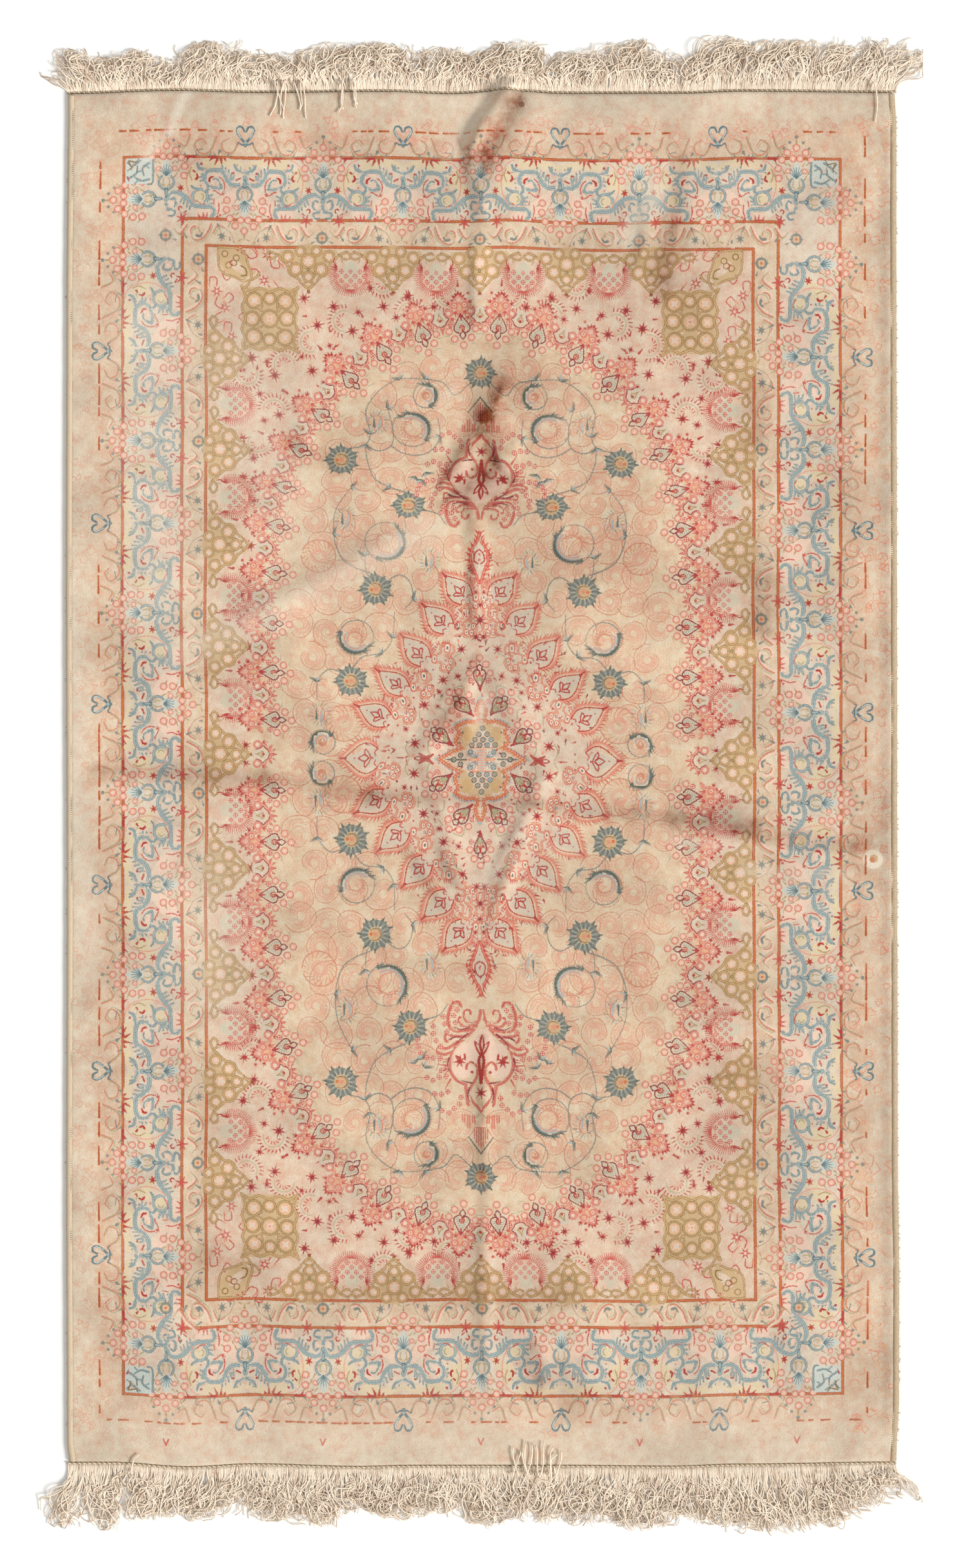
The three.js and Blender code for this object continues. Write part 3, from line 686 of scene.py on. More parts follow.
def trefoil(place):
    """The outward point of the scalloped band round the inner field; x points outwards."""
    stroke(place, [(30, 0), (47, 0)], "pink", 11, 4.5)
    for half in both_ways(place, tall=-1):
        piped(half, [(21, 21), (25, 17.5), (29, 13), (34, 14), (40, 14.3),
                      (44.5, 10), (49, 6), (56, 0)], 1.9, "pink", 1.1)
        dot(half, 37.5, 8, 5.3, "rose")
        dot(half, 37.5, 8, 4.5, "pink")
        ring(half, 37.5, 8, 3.3, "salmon", 0.6)
        dot(half, 37.5, 8, 2.7, "blush")
        dot(half, 37.5, 8, 1.1, "crimson")
        tuft(half, 40.5, 15.5, 60, "crimson", 7)
        petal(half, 50, 5, 55, 6.5, 1.9, "crimson", 0.5)
        petal(half, 46, 8.5, 80, 5, 1.5, "crimson", 0.5)
        petal(half, 52, 3, 20, 6, 1.9, "crimson", 0.5)
        tuft(half, 28.5, 7.8, 180, "rose", 10)
        tuft(half, 25.5, 14.5, 160, "salmon", 7)
    dot(place, 46, 0, 5.0, "rose")
    dot(place, 46, 0, 4.2, "blush")
    ring(place, 46, 0, 2.6, "salmon", 0.5)
    stroke(place, [(31, 0), (38, 0)], "salmon", 4.2, 2.6)
    stroke(place, [(32, 0), (37, 0)], "peach", 2.9, 1.6)
    petal(place, 54, 0, 0, 6, 2.0, "crimson", 0.4)
    petal(place, 66, 1, 4, 11, 2.2, "crimson", 0.6)
    dot(place, 55, 15.5, 2.4, "rose")


def arch(place):
    """The inward arch between two trefoils, with a small lozenge in its mouth; x points outwards."""
    stroke(place, [(14, 0), (28, 0)], "mist", 6.0, 8)
    for half in both_ways(place, tall=-1):
        for x, y, turn, length in ((7, 0, 180, 9), (8, 4.5, 153, 9), (10.5, 8.5, 132, 8.5)):
            petal(half, x, y, turn, length, 2.5, "rose", 0.5)
            petal(half, x, y, turn, length - 2.5, 1.0, "pink", 0.3)
        piped(half, [(6.8, 0), (8.5, 6), (13.5, 10.5), (17.5, 16.5), (21, 15)], 2.1, "pink", 1.2)
        ring(half, 28, 15, 5.2, "rose", 1.7)
        ring(half, 28, 15, 5.2, "pink", 0.95)
        dot(half, 28, 15, 3.0, "blush")
        tuft(half, 20, 19, 170, "rose", 8)
        curve(half, [(30.2, 7.6), (23.6, 9.8), (19.1, 13.7), (15.8, 9.8), (11.3, 6.4),
                      (9.4, 0)], "wine", 0.65)
        curve(half, [(30.2, 0), (24, 1.8), (20.3, 4.4), (17.5, 0)], "gold", 0.8)
    dot(place, 19, 0, 2.3, "crimson")


# Bunches round the inner field, from the side to the foot of the oval
OVAL = np.array([(318, -20), (318, 62), (318, 140), (318, 219), (314, 299), (309, 376), (299, 449),
                 (276, 517), (243, 579), (198, 636), (147, 677), (88, 705), (28, 718), (-32, 718)], float)


def outward(before, after):
    """The heading in degrees that points out of the oval between two of its points."""
    return math.degrees(math.atan2(after[1] - before[1], after[0] - before[0])) - 90


def draw_oval():
    inner = range(1, len(OVAL) - 1)
    for n in inner:
        quarters(trefoil, *OVAL[n], outward(OVAL[n - 1], OVAL[n + 1]))
    for n in inner:
        x, y = (OVAL[n] + OVAL[n + 1]) / 2
        quarters(arch, 0 if n == inner[-1] else x, y, outward(OVAL[n], OVAL[n + 1]))
        if n == 1:
            quarters(arch, OVAL[0][0], WAIST, 0)
    for n in inner:
        quarters(bouquet, *OVAL[n], outward(OVAL[n - 1], OVAL[n + 1]))


# The medallion's palmettes: the foot and the tip of each, from the side to the bottom
MEDALLION = np.array([(220, 6), (195, 91), (162, 151), (125, 209), (89, 254), (57, 303), (0, 371)], float)
MEDALLION_FEET = np.array([(156, 6), (141, 63), (113, 111), (80, 160), (45, 212), (17, 256)], float)


def palmette(place):
    """A teardrop palmette with a crimson flamed rim and a tulip inside; its foot is at x = 0."""
    rim = np.array([(4, 9.5), (9, 12.5), (18.5, 16), (30, 14), (42, 7), (51, 1.2)])
    stroke(place, [(10, 0), (20, 0)], "mist", 8, 14.5)
    stroke(place, [(20, 0), (50, 0)], "mist", 14.5, 2.0)
    for half in both_ways(place, tall=-1):
        outer = rim * (1.12, 1.24)
        curve(half, outer, "pink", 2.4, 1.8)
        teeth(half, outer, "rose", 8.5, 40, 1, 4.4, 0.95)
        teeth(half, outer, "rose", 5.5, 40, 1, 5.0, 0.7)
        curve(half, outer * (1.02, 1.04), "salmon", 0.7)
        curve(half, rim, "crimson", 0.95, 0.8)
        curve(half, [(5, 9), (9, 6), (7, 2)], "rose", 0.8)
        curve(half, [(14, 0), (17, 5), (22, 9.5), (23, 5), (18, 1)], "crimson", 0.9)
        curve(half, [(17, 0), (24, 3.4), (32, 0)], "crimson", 0.9)
    stroke(place, [(51, 0), (62, 0)], "crimson", 2.6, 0.5)
    dot(place, 12, 0, 1.7, "crimson")
    dot(place, 38, 0, 1.2, "rose")


def peacock_eyes(place):
    """Cream drops with teal pupils in orange piping, between one palmette and the next."""
    piped(place, [(-30, 14), (-20, 8), (-12, 17), (-4, 8), (4, 14), (0, 27), (8, 36), (-4, 48), (-14, 42),
                  (-10, 30), (-24, 34), (-30, 24), (-28, 14)], 1.5, "peach", 0.7)
    for x, y, tall in ((-26, 20, 1.0), (-19.5, 15, 1.0), (-1, 13.5, 1.5), (-21, 29, 1.0), (-2, 39.5, 1.8)):
        drop = np.array([(x - tall, y - tall), (x + tall, y + tall)])
        stroke(place, drop, "rose", 2.2 + 1.6 * tall)
        stroke(place, drop, "salmon", 1.5 + 1.5 * tall)
        stroke(place, drop, "ivory", 0.7 + 1.4 * tall)
        stroke(place, (drop + (x, y)) / 2, "teal", 0.9 * tall)
    petal(place, -14, 22, 100, 6, 2.4, "rose")
    dot(place, -14, 24, 1.6, "pale_blue")
    teeth(place, [(6, 22), (10, 34), (0, 48)], "rose", 6.5, 20, -1, 3.6, 1.2)
    dot(place, -12, 0, 1.5, "crimson")


def heart_bunch(place):
    """A leaf heart inside the medallion with ring flowers round it."""
    leaf_heart(place)
    for half in both_ways(place, tall=-1):
        rosette(half, 29, 19, 0.92)
        rosette(half, 43, 11.5, 0.98)
        tile(half, 17, 16, 1.1)
    rosette(place, 53, 0, 0.98)


def draw_tip(quarter):
    """The medallion's foot and head: a piped spire between two curls."""
    spire = [(2, 287), (6, 302), (10.5, 313), (14, 322), (13, 336), (8.4, 348), (2.5, 357), (0, 370)]
    stroke(quarter, [(3, 300), (5, 325), (4, 345), (0, 362)], "mist", 3, 3)
    piped(quarter, spire, 2.4, "salmon", 1.0)
    teeth(quarter, spire, "rose", 10, 35, -1, 8, 2.0)
    curve(quarter, [(2, 318), (8, 324), (6, 336), (0, 342)], "crimson", 1.0)
    curve(quarter, [(38, 204), (26, 208), (24, 219), (31, 226), (38, 221), (34, 213)], "rose", 1.5, 1.1)
    curve(quarter, [(38, 204), (26, 208), (24, 219), (31, 226)], "peach", 0.6)
    dot(quarter, 33, 216, 1.8, "teal")
    piped(quarter, [(24, 226), (16, 234), (15, 248), (22, 252), (30, 244)], 1.7, "peach", 0.7)


def draw_medallion(flecks=620):
    for n in range(flecks):
        y = random.uniform(WAIST, 340)
        x = random.uniform(0, np.interp(y, MEDALLION[:, 1], MEDALLION[:, 0]) - 14)
        yarn = ("rose", "crimson", "salmon", "rose", "wine")[n % 5]
        petal(QUARTERS[n % 4], x, y, random.uniform(0, 360), random.uniform(5, 10), 1.6, yarn)
    feet = []
    for (x, y), (tip_x, tip_y) in zip(MEDALLION_FEET, MEDALLION):
        feet.append((x, y, math.degrees(math.atan2(tip_y - y, tip_x - x))))
    for foot in feet:
        quarters(peacock_eyes, *foot)
    for foot in feet[1:]:
        quarters(lambda place: palmette(inside(place, spot(wide=1.08, tall=1.14))), *foot)
    for turn, x in ((0, 156), (180, -156)):
        palmette(inside(QUARTERS[0], spot(x, WAIST, turn, 1.07, 1.5)))
    for quarter in QUARTERS:
        draw_tip(quarter)
    for x, y, turn in ((45, 28, 39), (12, 75, 47)):
        quarters(heart_bunch, x, y, turn)
    for quarter in QUARTERS[:2]:
        heart_bunch(inside(quarter, spot(0, 116, 90, tall=0.85)))
    for x, y, size in ((104, 30, 1.0), (88, 92, 1.0), (57, 134, 1.0), (34, 140, 0.7), (28, 183, 0.9),
                       (6, 202, 0.8), (64, 114, 0.6), (67, 90, 0.6), (0, 228, 1.1), (0, 252, 0.7),
                       (6, 272, 0.5), (118, 52, 0.6)):
        quarters(small_star, x, y, size=size)
    waist = inside(QUARTERS[0], spot(0, WAIST))
    for turn in (35, 145, 215, 325):
        for x in (86, -86):
            petal(waist, x, 0, turn, 13, 3.4, "crimson", 1.4)
    for half in both_ways(waist, wide=-1):
        curve(half, [(92, 0), (98, 3), (104, 0), (98, -3), (92, 0)], "crimson", 0.9)
        stroke(half, [(121, 0), (131, 0)], "crimson", 0.9)
    for x, y in ((48, 68), (31, 134), (112, 90), (144, 18), (66, 12), (48, 118)):
        quarters(lambda place: dot(place, 0, 0, 1.6, "crimson"), x, y)
    for points in ([(56, 70), (57, 84), (67, 88)], [(96, 66), (96, 82)], [(64, 100), (58, 108)],
                   [(80, 40), (84, 24), (80, 12)], [(24, 110), (28, 124), (42, 120)],
                   [(112, 8), (118, 22), (112, 34)], [(44, 150), (40, 170), (30, 176)]):
        for quarter in QUARTERS:
            curve(quarter, points, "sage", 0.9)


# The middle of the medallion: rows of slate lattice flowers as X, Y and shade
LATTICE = [(-16, 23, 0), (-4, 23, 0), (8, 23, 1), (20, 23, 0), (-11, 31.5, 0), (1.5, 31.5, 0),
           (14, 31.5, 1), (-5, 40, 0), (8, 40, 0), (1, 49.5, 0), (-18, 12, 1), (18, 12, 1), (-33, 7, 0),
           (33, 7, 0), (-43.5, 0, 0), (43.5, 0, 0)]


def draw_centre(place):
    """The blue lattice at the heart of the medallion, in an orange flamed diamond."""
    flame = np.array([(67, 0), (55, 7), (45, 14), (33, 19), (41, 27), (39, 36), (35, 44), (40, 52),
                      (30, 58), (20, 61), (9, 60), (4, 66), (8, 74), (6, 84), (1, 94)])
    for my in (1, -1):
        for mx in (1, -1):
            corner = inside(place, spot(wide=mx, tall=my))
            stroke(corner, [(30, 24), (22, 40), (8, 52)], "sand", 9, 7)
            stroke(corner, [(20, 36), (24, 44)], "amber", 8)
            curve(corner, flame * (1.07, 1.05), "pale_blue", 1.6)
            curve(corner, flame, "orange", 2.3, 2.0)
            curve(corner, flame, "peach", 1.0, 0.7)
            teeth(corner, flame, "orange", 6.5, 30, 1, 4.0, 1.4)
            teeth(corner, flame, "rose", 5.0, 30, -1, 4.4, 0.9)
            dot(corner, 35, 27, 1.7, "teal")
            dot(corner, 30, 43, 1.7, "teal")
            stroke(corner, [(2, 19), (18, 18.5)], "orange", 0.8)
            for n in range(4):
                petal(corner, 6, 2, 12 + 26 * n, 20 - 3 * n, 1.2, "pale_blue")
                petal(corner, 8, 2, 22 + 26 * n, 17 - 3 * n, 0.7, "blue")
        for x, y, pale in LATTICE:
            yarn = "blue" if pale else "teal"
            dot(place, x, y * my, 4.4, yarn)
            for dx, dy in ((1.7, 0), (-1.7, 0), (0, 1.7), (0, -1.7)):
                dot(place, x + dx, y * my + dy, 1.0, "sky" if pale else "mist")
            dot(place, x, y * my, 0.9, "brown")
    for half in both_ways(place, wide=-1):
        stroke(half, [(5, 0), (12.5, 0), (20, 0)], "orange", 1.0, 1.0)
        stroke(half, [(7, 0), (18, 0)], "salmon", 2.6, 2.2)
        stroke(half, [(8, 0), (17, 0)], "peach", 1.2, 1.2)
        stroke(half, [(24, 0), (38, 0)], "teal", 1.3, 1.3)
        stroke(half, [(47, 0), (56, 0)], "teal", 1.9, 0.5)
    for y in range(-15, 18, 4):
        stroke(place, [(-7, y), (6, y)], "salmon", 0.7)
        stroke(place, [(-3, y + 2), (3, y + 2)], "pale_blue", 0.8)


# The scrolled pendant above and below the medallion, right half: X, Y of each line's points
PENDANT_LINES = [
    [(2, 394), (3, 401), (7, 414), (14, 424), (25, 436), (36, 445), (43, 454), (48, 465), (49, 477),
     (47, 489), (39, 501.5), (28, 507.6), (17.6, 509), (10, 503), (6, 494), (6, 483), (10, 477),
     (16, 474), (22, 478.5), (23, 485)],
    [(10, 504), (15, 510.6), (17.6, 520), (16, 529), (10, 538), (4, 544), (0, 550.5)],
    [(7, 412), (13.8, 412.7), (23.7, 412), (28.3, 405), (27.5, 397.4), (23.7, 393.6), (19, 394.4),
     (17.6, 399)],
    [(10, 417), (16, 417.3), (28.3, 418.8), (35.2, 412.7), (36, 406.6), (33, 405)],
    [(14, 422), (34.4, 428), (45, 426.5), (51.3, 418.8), (52.8, 406.6), (50.5, 394.4), (46.7, 385),
     (40.6, 380.6), (34.4, 382), (32, 388)],
    [(22, 432), (30, 435), (46.7, 434), (55.9, 432.6), (56.6, 440.3), (52.8, 443.3)],
    [(38, 443), (48, 451), (56, 454), (67.3, 452.5), (69.6, 457), (65, 461.7), (55.9, 463), (49.7, 460)],
    [(23.7, 510.7), (22, 523), (20.7, 536.7), (19, 541)],
]
PENDANT_TILES = [
    (38.3, 393.6), (43.6, 402.8), (41.3, 413.5), (60, 404.3), (57.7, 415.8), (54, 428), (75.3, 419.6),
    (75, 431), (70.4, 441.8), (63.5, 451), (63.5, 469.3), (74.2, 468.6), (84.2, 467.8), (94, 460),
    (98, 451), (99, 440), (61.2, 487.7), (64.3, 498.4), (74.2, 503), (83.4, 498.4), (54, 497),
    (51.3, 520.6), (61.2, 524.4), (71.2, 523.7), (30.6, 529), (33, 539.7), (41.3, 546.6), (49.7, 553.5),
    (60.4, 549.7),
]


def draw_pendant():
    for quarter in QUARTERS:
        stroke(quarter, [(22, 462), (28, 482)], "blush", 18, 17)
        stroke(quarter, [(5, 430), (12, 455)], "blush", 7, 14)
        for points in PENDANT_LINES:
            curve(quarter, points, "rose", 2.5, 1.9)
            curve(quarter, points, "pink", 1.5, 0.9)
            curve(quarter, points, "crimson", 0.5, 0.4)
        for points in ([(22, 430), (34, 440), (42, 449)], [(50, 468), (52, 478), (49, 490)],
                       [(20, 420), (32, 424), (44, 420)], [(14, 506), (22, 505), (30, 503)],
                       [(18, 514), (20, 526), (17, 536)], [(50, 440), (42, 436), (32, 434)]):
            curve(quarter, points, "wine", 1.5, 0.6)
        teeth(quarter, PENDANT_LINES[4], "rose", 6, 30, -1, 4.4, 1.0)
        teeth(quarter, [(51, 466), (54, 478), (50, 494)], "rose", 7, 30, -1, 5, 1.1)
        for x, y, turn in ((50, 480, -4), (52, 485, 28), (46, 500, 60)):
            petal(quarter, x, y, turn, 19, 1.6, "rose")
        for x, y in PENDANT_TILES:
            tile(quarter, x, y, 1.02)
        for turn in range(0, 360, 51):
            petal(quarter, 33, 473, turn + 12, 10, 2.0, "crimson")
        for points in ([(26, 462), (25, 470)], [(39, 465), (33, 468)]):
            curve(quarter, points, "crimson", 1.5)
        curve(quarter, [(0, 432), (3, 446), (0, 458), (4, 470), (2, 486), (0, 505)], "crimson", 1.7, 2.4)
        curve(quarter, [(2, 462), (8, 452), (11, 442), (6, 446)], "crimson", 1.6, 0.8)
        dot(quarter, 14, 489, 2.4, "crimson")
        stroke(quarter, [(0, 552), (8, 560), (24, 556)], "sage", 0.8)
        for x, foot in ((11.5, 568), (19, 576), (26.8, 567)):
            for aside, yarn, width in ((-1.8, "rose", 0.75), (1.8, "rose", 0.75), (0, "salmon", 0.8)):
                stroke(quarter, [(x + aside, 556), (x + aside, foot)], yarn, width)
        for x, foot in ((0, 606), (3.4, 603), (6.8, 598), (10.2, 592)):
            stroke(quarter, [(x, 577), (x, foot)], "rose", 0.8)
        curve(quarter, [(0, 615), (10, 602), (19, 590)], "teal", 0.9)
    for quarter in QUARTERS[:2]:
        star(quarter, 0, 521, 7, 10, 1.9, "crimson", 30, "wine")
        stroke(quarter, [(-7, 575), (7, 575)], "rose", 0.9)


SERRATED = [(200, 131, 26), (161, 276, 26), (110, 419, 26), (216, 503, 26), (0, 652, 24)]
FEATHERED = [(213, 62, 29), (250, 330, 27)]
BLURRED = [(250, 76), (207, 392), (77, 325), (160, 571)]
CRESCENTS = [(191, 200, 24, -60), (145, 354, 29, 215), (107, 560, 27, 140), (84, 617, 16, 170),
             (246, 31, 16, 60)]
TEAL_VINES = [
    [(213, 146), (235, 150), (252, 130), (254, 100)],
    [(197, 152), (180, 170), (150, 176), (134, 200), (132, 240)],
    [(146, 288), (124, 300), (108, 288), (104, 262), (116, 246)],
    [(166, 300), (196, 312), (216, 330), (226, 366), (222, 410), (200, 452)],
    [(114, 444), (140, 454), (164, 470), (176, 500), (180, 530)],
    [(214, 520), (198, 524), (180, 530), (172, 550), (178, 590), (158, 622), (124, 642), (80, 642)],
    [(140, 530), (122, 518), (98, 514), (76, 524), (64, 548), (66, 580)],
    [(180, 530), (160, 520), (140, 530), (136, 556), (144, 596)],
    [(80, 642), (56, 636), (40, 618), (20, 632), (8, 646)],
    [(160, 293), (175, 300), (178, 330)],
    [(90, 410), (66, 402), (52, 384)],
]
TEAL_LEAVES = [(134, 200, 20), (104, 262, 80), (178, 330, 10), (180, 530, 200), (84, 642, 30),
               (200, 452, 100), (64, 548, 240), (150, 176, 300), (252, 130, 0), (104, 476, 200),
               (88, 482, 150), (92, 470, 215), (144, 596, 60), (172, 550, 10), (124, 642, 340),
               (226, 366, 80), (140, 454, 300)]


def draw_inner_field():
    for y in np.arange(36, 690, 44.0):
        rim = np.interp(y, MEDALLION[:, 1], MEDALLION[:, 0]) - 12 if y < 322 else 0
        far = np.interp(y, OVAL[1:, 1], OVAL[1:, 0]) if y < 705 else 60
        x = rim + 40 if y < 322 else (96 if 370 < y < 560 else 34)
        while x < far - 32:
            r = random.uniform(24, 31)
            quarters(ghost_scroll, x, y + random.uniform(-9, 9), random.uniform(0, 360), r=r)
            x += random.uniform(37, 45)
    for points in TEAL_VINES:
        for quarter in QUARTERS:
            curve(quarter, points, "slate", 0.95, 0.65, 5)
    for x, y, turn in TEAL_LEAVES:
        quarters(leaf_pair, x, y, turn)
    for x, y, r in FEATHERED:
        quarters(feathered_ring, x, y, 20, r=r)
    for x, y in BLURRED:
        quarters(blurred_palmette, x, y)
    for x, y, r, turn in CRESCENTS:
        quarters(crescent, x, y, turn, r=r)
    for x, y, r in SERRATED:
        quarters(serrated_flower, x, y, 15, r=r)


STARS = [(369, 534, 1), (313, 580, 1.1), (336, 569, 0.8), (342, 614, 0.8), (318, 644, 1.1), (260, 652, 1),
         (354, 669, 1.1), (198, 713, 1.1), (252, 721, 1.1), (227, 750, 1), (273, 763, 1), (189, 742, 0.8),
         (276, 673, 0.6), (243, 634, 0.5), (306, 621, 0.4), (366, 650, 0.4), (356, 180, 1),
         (369, 262, 0.9), (356, 342, 1), (351, 420, 1), (366, 466, 0.9), (352, 500, 0.9), (150, 752, 1),
         (112, 768, 1), (72, 752, 0.9), (36, 772, 0.9), (12, 750, 0.8), (358, 96, 0.9), (364, 20, 0.8),
         (170, 780, 0.8), (130, 735, 0.8), (362, 385, 0.7), (357, 300, 0.7), (360, 222, 0.7),
         (359, 140, 0.7), (359, 60, 0.7), (383, 596, 0.6), (330, 665, 0.6), (233, 690, 0.6)]
FERNS = [(321, 590, 0), (361, 644, 170), (303, 660, -20), (262, 696, -100), (211, 728, -80),
         (110, 742, 20), (345, 528, 200), (352, 462, 160), (50, 770, 200), (150, 790, 180),
         (356, 400, 20), (360, 250, 190)]
BUDS = [(330, 660, 80), (233, 714, 70), (272, 735, 0), (222, 690, 150), (250, 628, 30), (345, 655, 100),
        (355, 690, 60), (371, 650, 90), (296, 700, 20), (180, 700, 120), (90, 735, 40), (350, 360, 80),
        (352, 200, 100), (352, 120, 80)]


def vine_flower(place):
    """A pink arabesque flower and its curling leaves, for the corners of the field."""
    for turn in range(0, 360, 60):
        petal(place, 0, 0, turn, 9, 2.0, "rose", 0.4)
    dot(place, 0, 0, 2.4, "blush")
    curve(place, [(8, 4), (18, 10), (24, 2), (17, -3)], "rose", 1.0, 0.7)
    curve(place, [(-8, -4), (-16, -12), (-26, -8), (-22, 0)], "rose", 1.0, 0.7)
    petal(place, 17, -3, 220, 7, 1.5, "salmon")
    petal(place, -22, 0, 40, 7, 1.5, "salmon")


def cartouche(place):
    """An olive square cartouche of interlaced cells in the corner of the field."""
    for y in (-38, -19, 0, 19, 38):
        stroke(place, [(-33, y), (33, y)], "sand", 11)
    rim = [(-44, 50), (-30, 42), (-16, 48), (0, 42), (16, 48), (30, 42), (44, 50), (37, 34), (43, 17),
           (37, 0), (43, -17), (37, -34)]
    rim += [(-x, -y) for x, y in rim] + rim[:1]
    for x, y, r in ((-24, 28, 12), (0, 32, 9), (24, 28, 12), (-27, 1, 11), (27, -1, 11), (-24, -28, 12),
                    (0, -32, 9), (24, -28, 12), (0, 0, 13)):
        dot(place, x, y, r * 0.72, "peach")
        ring(place, x, y, r, "olive", 1.7)
        ring(place, x, y, r, "amber", 0.8)
        star(place, x, y, 4, r * 0.62, r * 0.2, "blush", 45)
        dot(place, x, y, 1.7, "sky" if (x + y) % 3 else "salmon")
    strapwork(place, rim, 2.0)
    for half in both_ways(place, wide=-1):
        strapwork(half, [(12, 12), (20, 18), (12, 22), (14, 12)], 1.6)
        strapwork(half, [(12, -12), (20, -18), (12, -22)], 1.6)


def corner_leaf(place):
    """The smaller two-armed olive form outside the square cartouche."""
    for swap in (False, True):
        body = [(26, 26), (22, 4), (10, -6), (-4, -10), (-22, -4)]
        rim = [(-30, -4), (-24, -12), (-8, -18), (10, -12), (24, -8), (33, 4), (34, 34)]
        if swap:
            body = [(y, x) for x, y in body]
            rim = [(y, x) for x, y in rim]
        curve(place, body, "sand", 8, 2.0)
        strapwork(place, rim, 1.8)
    for x, y in ((24, 24), (18, 6), (6, 18), (10, 10)):
        ring(place, x, y, 4.5, "olive", 0.7)
        dot(place, x, y, 2.2, "peach")
    curve(place, [(0, 6), (-8, 2), (-10, -8), (-2, -10)], "olive", 0.9)


def draw_outer_field():
    for x, y, size in STARS:
        quarters(small_star, x, y, 20 * size, size=size)
    for x, y, turn in FERNS:
        quarters(fern, x, y, turn)
    for x, y, turn in BUDS:
        quarters(lambda place: petal(place, -4, 0, 0, 9, 1.9, "crimson"), x, y, turn)
    for x, y, turn in ((352, 722, 20), (335, 790, 200), (385, 700, 60), (395, 745, 100), (290, 815, 10),
                       (330, 830, 30), (390, 815, 80), (408, 770, 60), (372, 836, 0), (405, 660, 100),
                       (250, 832, 0)):
        quarters(vine_flower, x, y, turn)
    quarters(cartouche, 326, 730)
    quarters(corner_leaf, 372, 806, 0)


LAMBREQUINS_ALONG = [641.5, 498.5, 353.5, 195.5, 26.5, -147.5, -307.5, -470.5, -626.5]
LAMBREQUINS_ACROSS = [-268, -137, -2, 133, 264]


def draw_field_edge():
    """Lambrequins on the field's line, each pair with a basket between them."""
    for side, row, deep in (("right", LAMBREQUINS_ALONG, 1.0), ("left", LAMBREQUINS_ALONG, 1.0),
                            ("top", LAMBREQUINS_ACROSS, 0.97), ("bottom", LAMBREQUINS_ACROSS, 0.97)):
        for n, at in enumerate(row):
            edge = side_place(side, LINES[side][4] - 3, at, 1.0, -deep)
            lambrequin(edge)
            if n:
                basket(inside(edge, spot((row[n - 1] - at) / 2)))


start = len(chart)
draw_inner_field()
draw_outer_field()
edge_start = len(chart)
draw_field_edge()
edge_end = len(chart)
draw_oval()
draw_medallion()
draw_centre(inside(QUARTERS[0], spot(0, WAIST)))
draw_pendant()
chart = np.array(chart)
# the mirrored quarters are drawn in at the top, and every row rises towards the left
quartered = np.r_[start:edge_start, edge_end:len(chart)]
for column in (1, 3):
    chart[quartered, column] = woven_tighter(chart[quartered, column])
    chart[:, column] += pulled_up(chart[:, column - 1], chart[:, column])
# long strokes are cut into shorter ones
LONGEST = 28
pieces = np.hypot(chart[:, 2] - chart[:, 0], chart[:, 3] - chart[:, 1]) / LONGEST
pieces = np.ceil(pieces).astype(int).clip(1)
part = np.concatenate([np.arange(n) for n in pieces])[:, None]
chart, count = np.repeat(chart, pieces, 0), np.repeat(pieces, pieces)[:, None]
near, far = part / count, (part + 1) / count
ends = [chart[:, :2] * (1 - t) + chart[:, 2:4] * t for t in (near, far)]
widths = [chart[:, 5:6] * (1 - t) + chart[:, 6:7] * t for t in (near, far)]
chart = np.hstack([ends[0], ends[1], chart[:, 4:5], widths[0], widths[1], chart[:, 7:]])

# ---------------------------------------------------------------- the cloth
# The chart's half sizes in knots, a knot being 1.087 mm, then the pile's sizes in millimetres
HALF_WIDE, HALF_LONG = LINES["right"][0], LINES["top"][0]
PILE_WIDE, PILE_LONG, THICKNESS = 692.7, 1155, 8.5
# Where the chart's middle lies in the rug's box, in metres
CHART_AT = np.array([-2.33e-3, 0.35e-3])
COLUMNS, ROWS = 224, 372
# How far the four edges stand out from straight, in millimetres, at places along them
LEFT_OUT = [(-1155, -5), (-1120, -1), (-700, 0.5), (-200, -0.5), (300, 1), (800, 0), (1155, -3)]
RIGHT_OUT = [(-1155, -1), (-1050, 3.5), (-850, 4), (-640, 1.5), (0, 0.5), (1100, -1), (1155, -4)]
TOP_OUT = [(-700, -2), (-516, 3.5), (-372, 0), (-160, 2), (-50, -2), (44, 3.5), (140, -1.5), (341, -1),
           (441, 2.5), (700, 0)]
BOTTOM_OUT = [(-700, -4), (-621, -4), (-495, 3.5), (-386, -1.5), (-207, 3), (-116, 1), (136, 1), (315, 2.5),
              (435, -1), (700, -4.5)]
